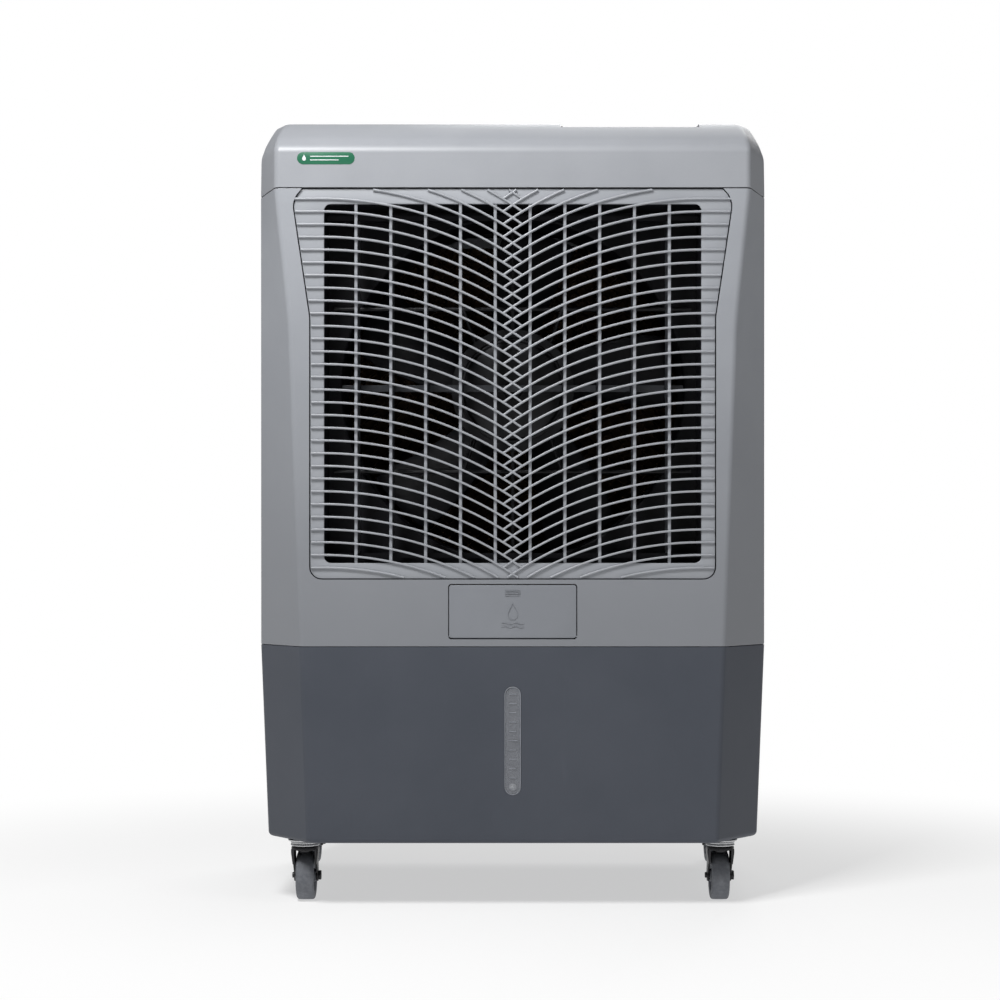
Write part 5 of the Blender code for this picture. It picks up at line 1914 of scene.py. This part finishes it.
@dataclass
class Trim:
    """Screws, and a plain badge without lettering."""

    head: float = 0.0036
    badge_low: Point = (-0.262, 0.9035)
    badge_high: Point = (-0.192, 0.9185)
    rear_screws: tuple[float, ...] = (0.395, 0.500, 0.700, 0.840)

    def screw(self, name: str, x: float, y: float, z: float) -> None:
        """One cross-recessed screw in the back.

        Args:
            name: The piece's name.
            x: Where it sits.
            y: Where the surface is.
            z: Where it sits.
        """
        r = self.head
        profile = [(0, 0.0013), (r * 0.5, 0.0012), (r * 0.85, 0.0008), (r, 0.0002),
                   (r, -0.0008), (0, -0.0008)]
        slots = []
        for across, up in ((0.0019, 0.00035), (0.00035, 0.0019)):
            low, high = (x - across, y + 0.0006, z - up), (x + across, y + 0.003, z + up)
            slots.append(block("cut", low, high, 0.0001))
        fit(cut(turned(name, profile, (x, y, z), Axis.Y, 32), slots), Finish.ZINC, "cabinet")

    def badge(self) -> None:
        """A small green badge with a plain drop on it."""
        (x0, z0), (x1, z1) = self.badge_low, self.badge_high
        outline = soft_rectangle(x0, x1, z0, z1, (z1 - z0) / 2.02, 12)
        face = plate("badge_face", [outline], Axis.Y, FRONT - 0.0004, FRONT + 0.0006, 0.0003)
        fit(face, Finish.BADGE, "cabinet")
        x, z = x0 + 0.0085, (z0 + z1) / 2 - 0.0008
        drop = [(x, z + 0.0050)] + arc((x, z), 0.0023, 30, -240, 18)
        marks = [plate("drop", [drop], Axis.Y, FRONT - 0.0006, FRONT)]
        for row in range(2):
            level = (z0 + z1) / 2 + 0.0022 - row * 0.0044
            end = x1 - 0.0075 - row * 0.012
            marks.append(strip("dash", [(x + 0.0075, level), (end, level)], 0.0013, FRONT - 0.0006, FRONT))
        fit(merged("badge_marks", marks), Finish.PRINT, "cabinet")

    def build(self) -> None:
        """Places the screws and the badge."""
        for label, side in (("left", -1), ("right", 1)):
            for row, z in enumerate(self.rear_screws):
                self.screw(f"rear_screw_{label}_{row}", side * FASTENER_X, BACK, z)
            self.screw(f"lid_screw_{label}", side * 0.2800, BACK, 0.9)
            self.screw(f"tank_screw_{label}", side * 0.2860, BACK, 0.300)
        self.badge()


@dataclass
class Studio:
    """Plain pale floor, soft lights and the camera."""

    distance: float = 2.6
    eye: float = 0.4325
    lens: float = 77.04
    shift: Point = (-0.0127, 0.0520)
    floor_radius: float = 14.0
    floor_drop: float = 0.0004
    floor_tone: float = 0.45
    floor_glow: float = 0.54
    floor_fade: Point = (0.35, 1.3)
    sky_light: float = 0.10

    def floor(self) -> None:
        """A wide pale floor, evenly bright away from the cooler."""
        ground = object_from("floor", bpy.data.meshes.new("floor"))
        work = bmesh.new()
        bmesh.ops.create_circle(work, cap_ends=True, radius=self.floor_radius, segments=96)
        work.to_mesh(ground.data)
        work.free()
        ground.location.z = -self.floor_drop
        material = bpy.data.materials.new("floor")
        graph = Graph(material)
        place = graph.node("ShaderNodeTexCoord", out="Object")
        reach = graph.node("ShaderNodeVectorMath", {"operation": "LENGTH"}, {0: place}, "Value")
        white = (1.0, 1.0, 1.0, 1.0)
        near = graph.node("ShaderNodeBsdfPrincipled", None, {
            "Base Color": (self.floor_tone, self.floor_tone, self.floor_tone, 1.0), "Roughness": 0.8,
            "Specular IOR Level": 0.1, "Emission Color": white, "Emission Strength": self.floor_glow,
        })
        far = graph.node("ShaderNodeEmission", None, {"Color": white, "Strength": 1.0})
        share = reach.ramp(*self.floor_fade)
        shader = graph.node("ShaderNodeMixShader", None, {0: share, 1: near, 2: far})
        graph.node("ShaderNodeOutputMaterial", None, {"Surface": shader})
        ground.data.materials.append(material)

    def light(self, name: str, place: Place, aim: Place, size: float, power: float) -> None:
        """One square soft light.

        Args:
            name: Its name.
            place: Where it stands.
            aim: What it points at.
            size: Its side.
            power: Its power in watts.
        """
        data = bpy.data.lights.new(name, "AREA")
        data.shape = "SQUARE"
        data.size = size
        data.energy = power
        lamp = object_from(name, data)
        lamp.visible_camera = False
        lamp.location = place
        lamp.rotation_euler = (Vector(aim) - Vector(place)).to_track_quat("-Z", "Y").to_euler()

    def world(self) -> None:
        """White behind everything, dimmer where it lights the cooler."""
        world = bpy.data.worlds.new("studio")
        bpy.context.scene.world = world
        graph = Graph(world)
        seen = graph.node("ShaderNodeLightPath", out="Is Camera Ray")
        strength = seen * (1.0 - self.sky_light) + self.sky_light
        sky = graph.node("ShaderNodeBackground", None, {"Color": (1.0, 1.0, 1.0, 1.0), "Strength": strength})
        graph.node("ShaderNodeOutputWorld", None, {"Surface": sky})

    def camera(self) -> None:
        """A level camera in front of the grille."""
        data = bpy.data.cameras.new("camera")
        data.lens = self.lens
        data.shift_x, data.shift_y = self.shift
        data.clip_end = 100.0
        eye = object_from("camera", data)
        eye.location = (0.0, FRONT - self.distance, self.eye)
        eye.rotation_euler = (math.pi / 2, 0.0, 0.0)
        bpy.context.scene.camera = eye

    def build(self) -> None:
        """Sets up the studio."""
        bpy.context.scene.view_settings.view_transform = "Standard"
        self.floor()
        self.world()
        self.light("key", (-0.58, -1.20, 1.95), (0.0, -0.2, 0.75), 0.6, 41.0)
        self.light("fill", (1.6, -1.5, 2.2), (0.0, -0.2, 0.6), 1.0, 6.0)
        self.light("back", (0.6, 2.2, 2.4), (0.0, 0.0, 0.6), 1.5, 25.0)
        self.camera()


def main() -> None:
    """Builds the sub-assemblies in order, then the studio."""
    logging.basicConfig(level=logging.INFO, format="%(name)s: %(message)s")
    grille = Grille()
    cabinet = Cabinet()
    cabinet.tank()
    cabinet.housing(grille.outline(0.0012, PANEL.high.z + 0.01))
    cabinet.lid()
    grille.build()
    Louvres().build(grille.bar_places())
    FanUnit().build()
    RearSide().build()
    FillDoor().build()
    LevelGauge().build()
    WaterParts().build()
    Controls().build()
    for name in ("front_left", "front_right", "rear_left", "rear_right"):
        Caster(name).build()
    Trim().build()
    Studio().build()


if __name__ == "__main__":
    main()
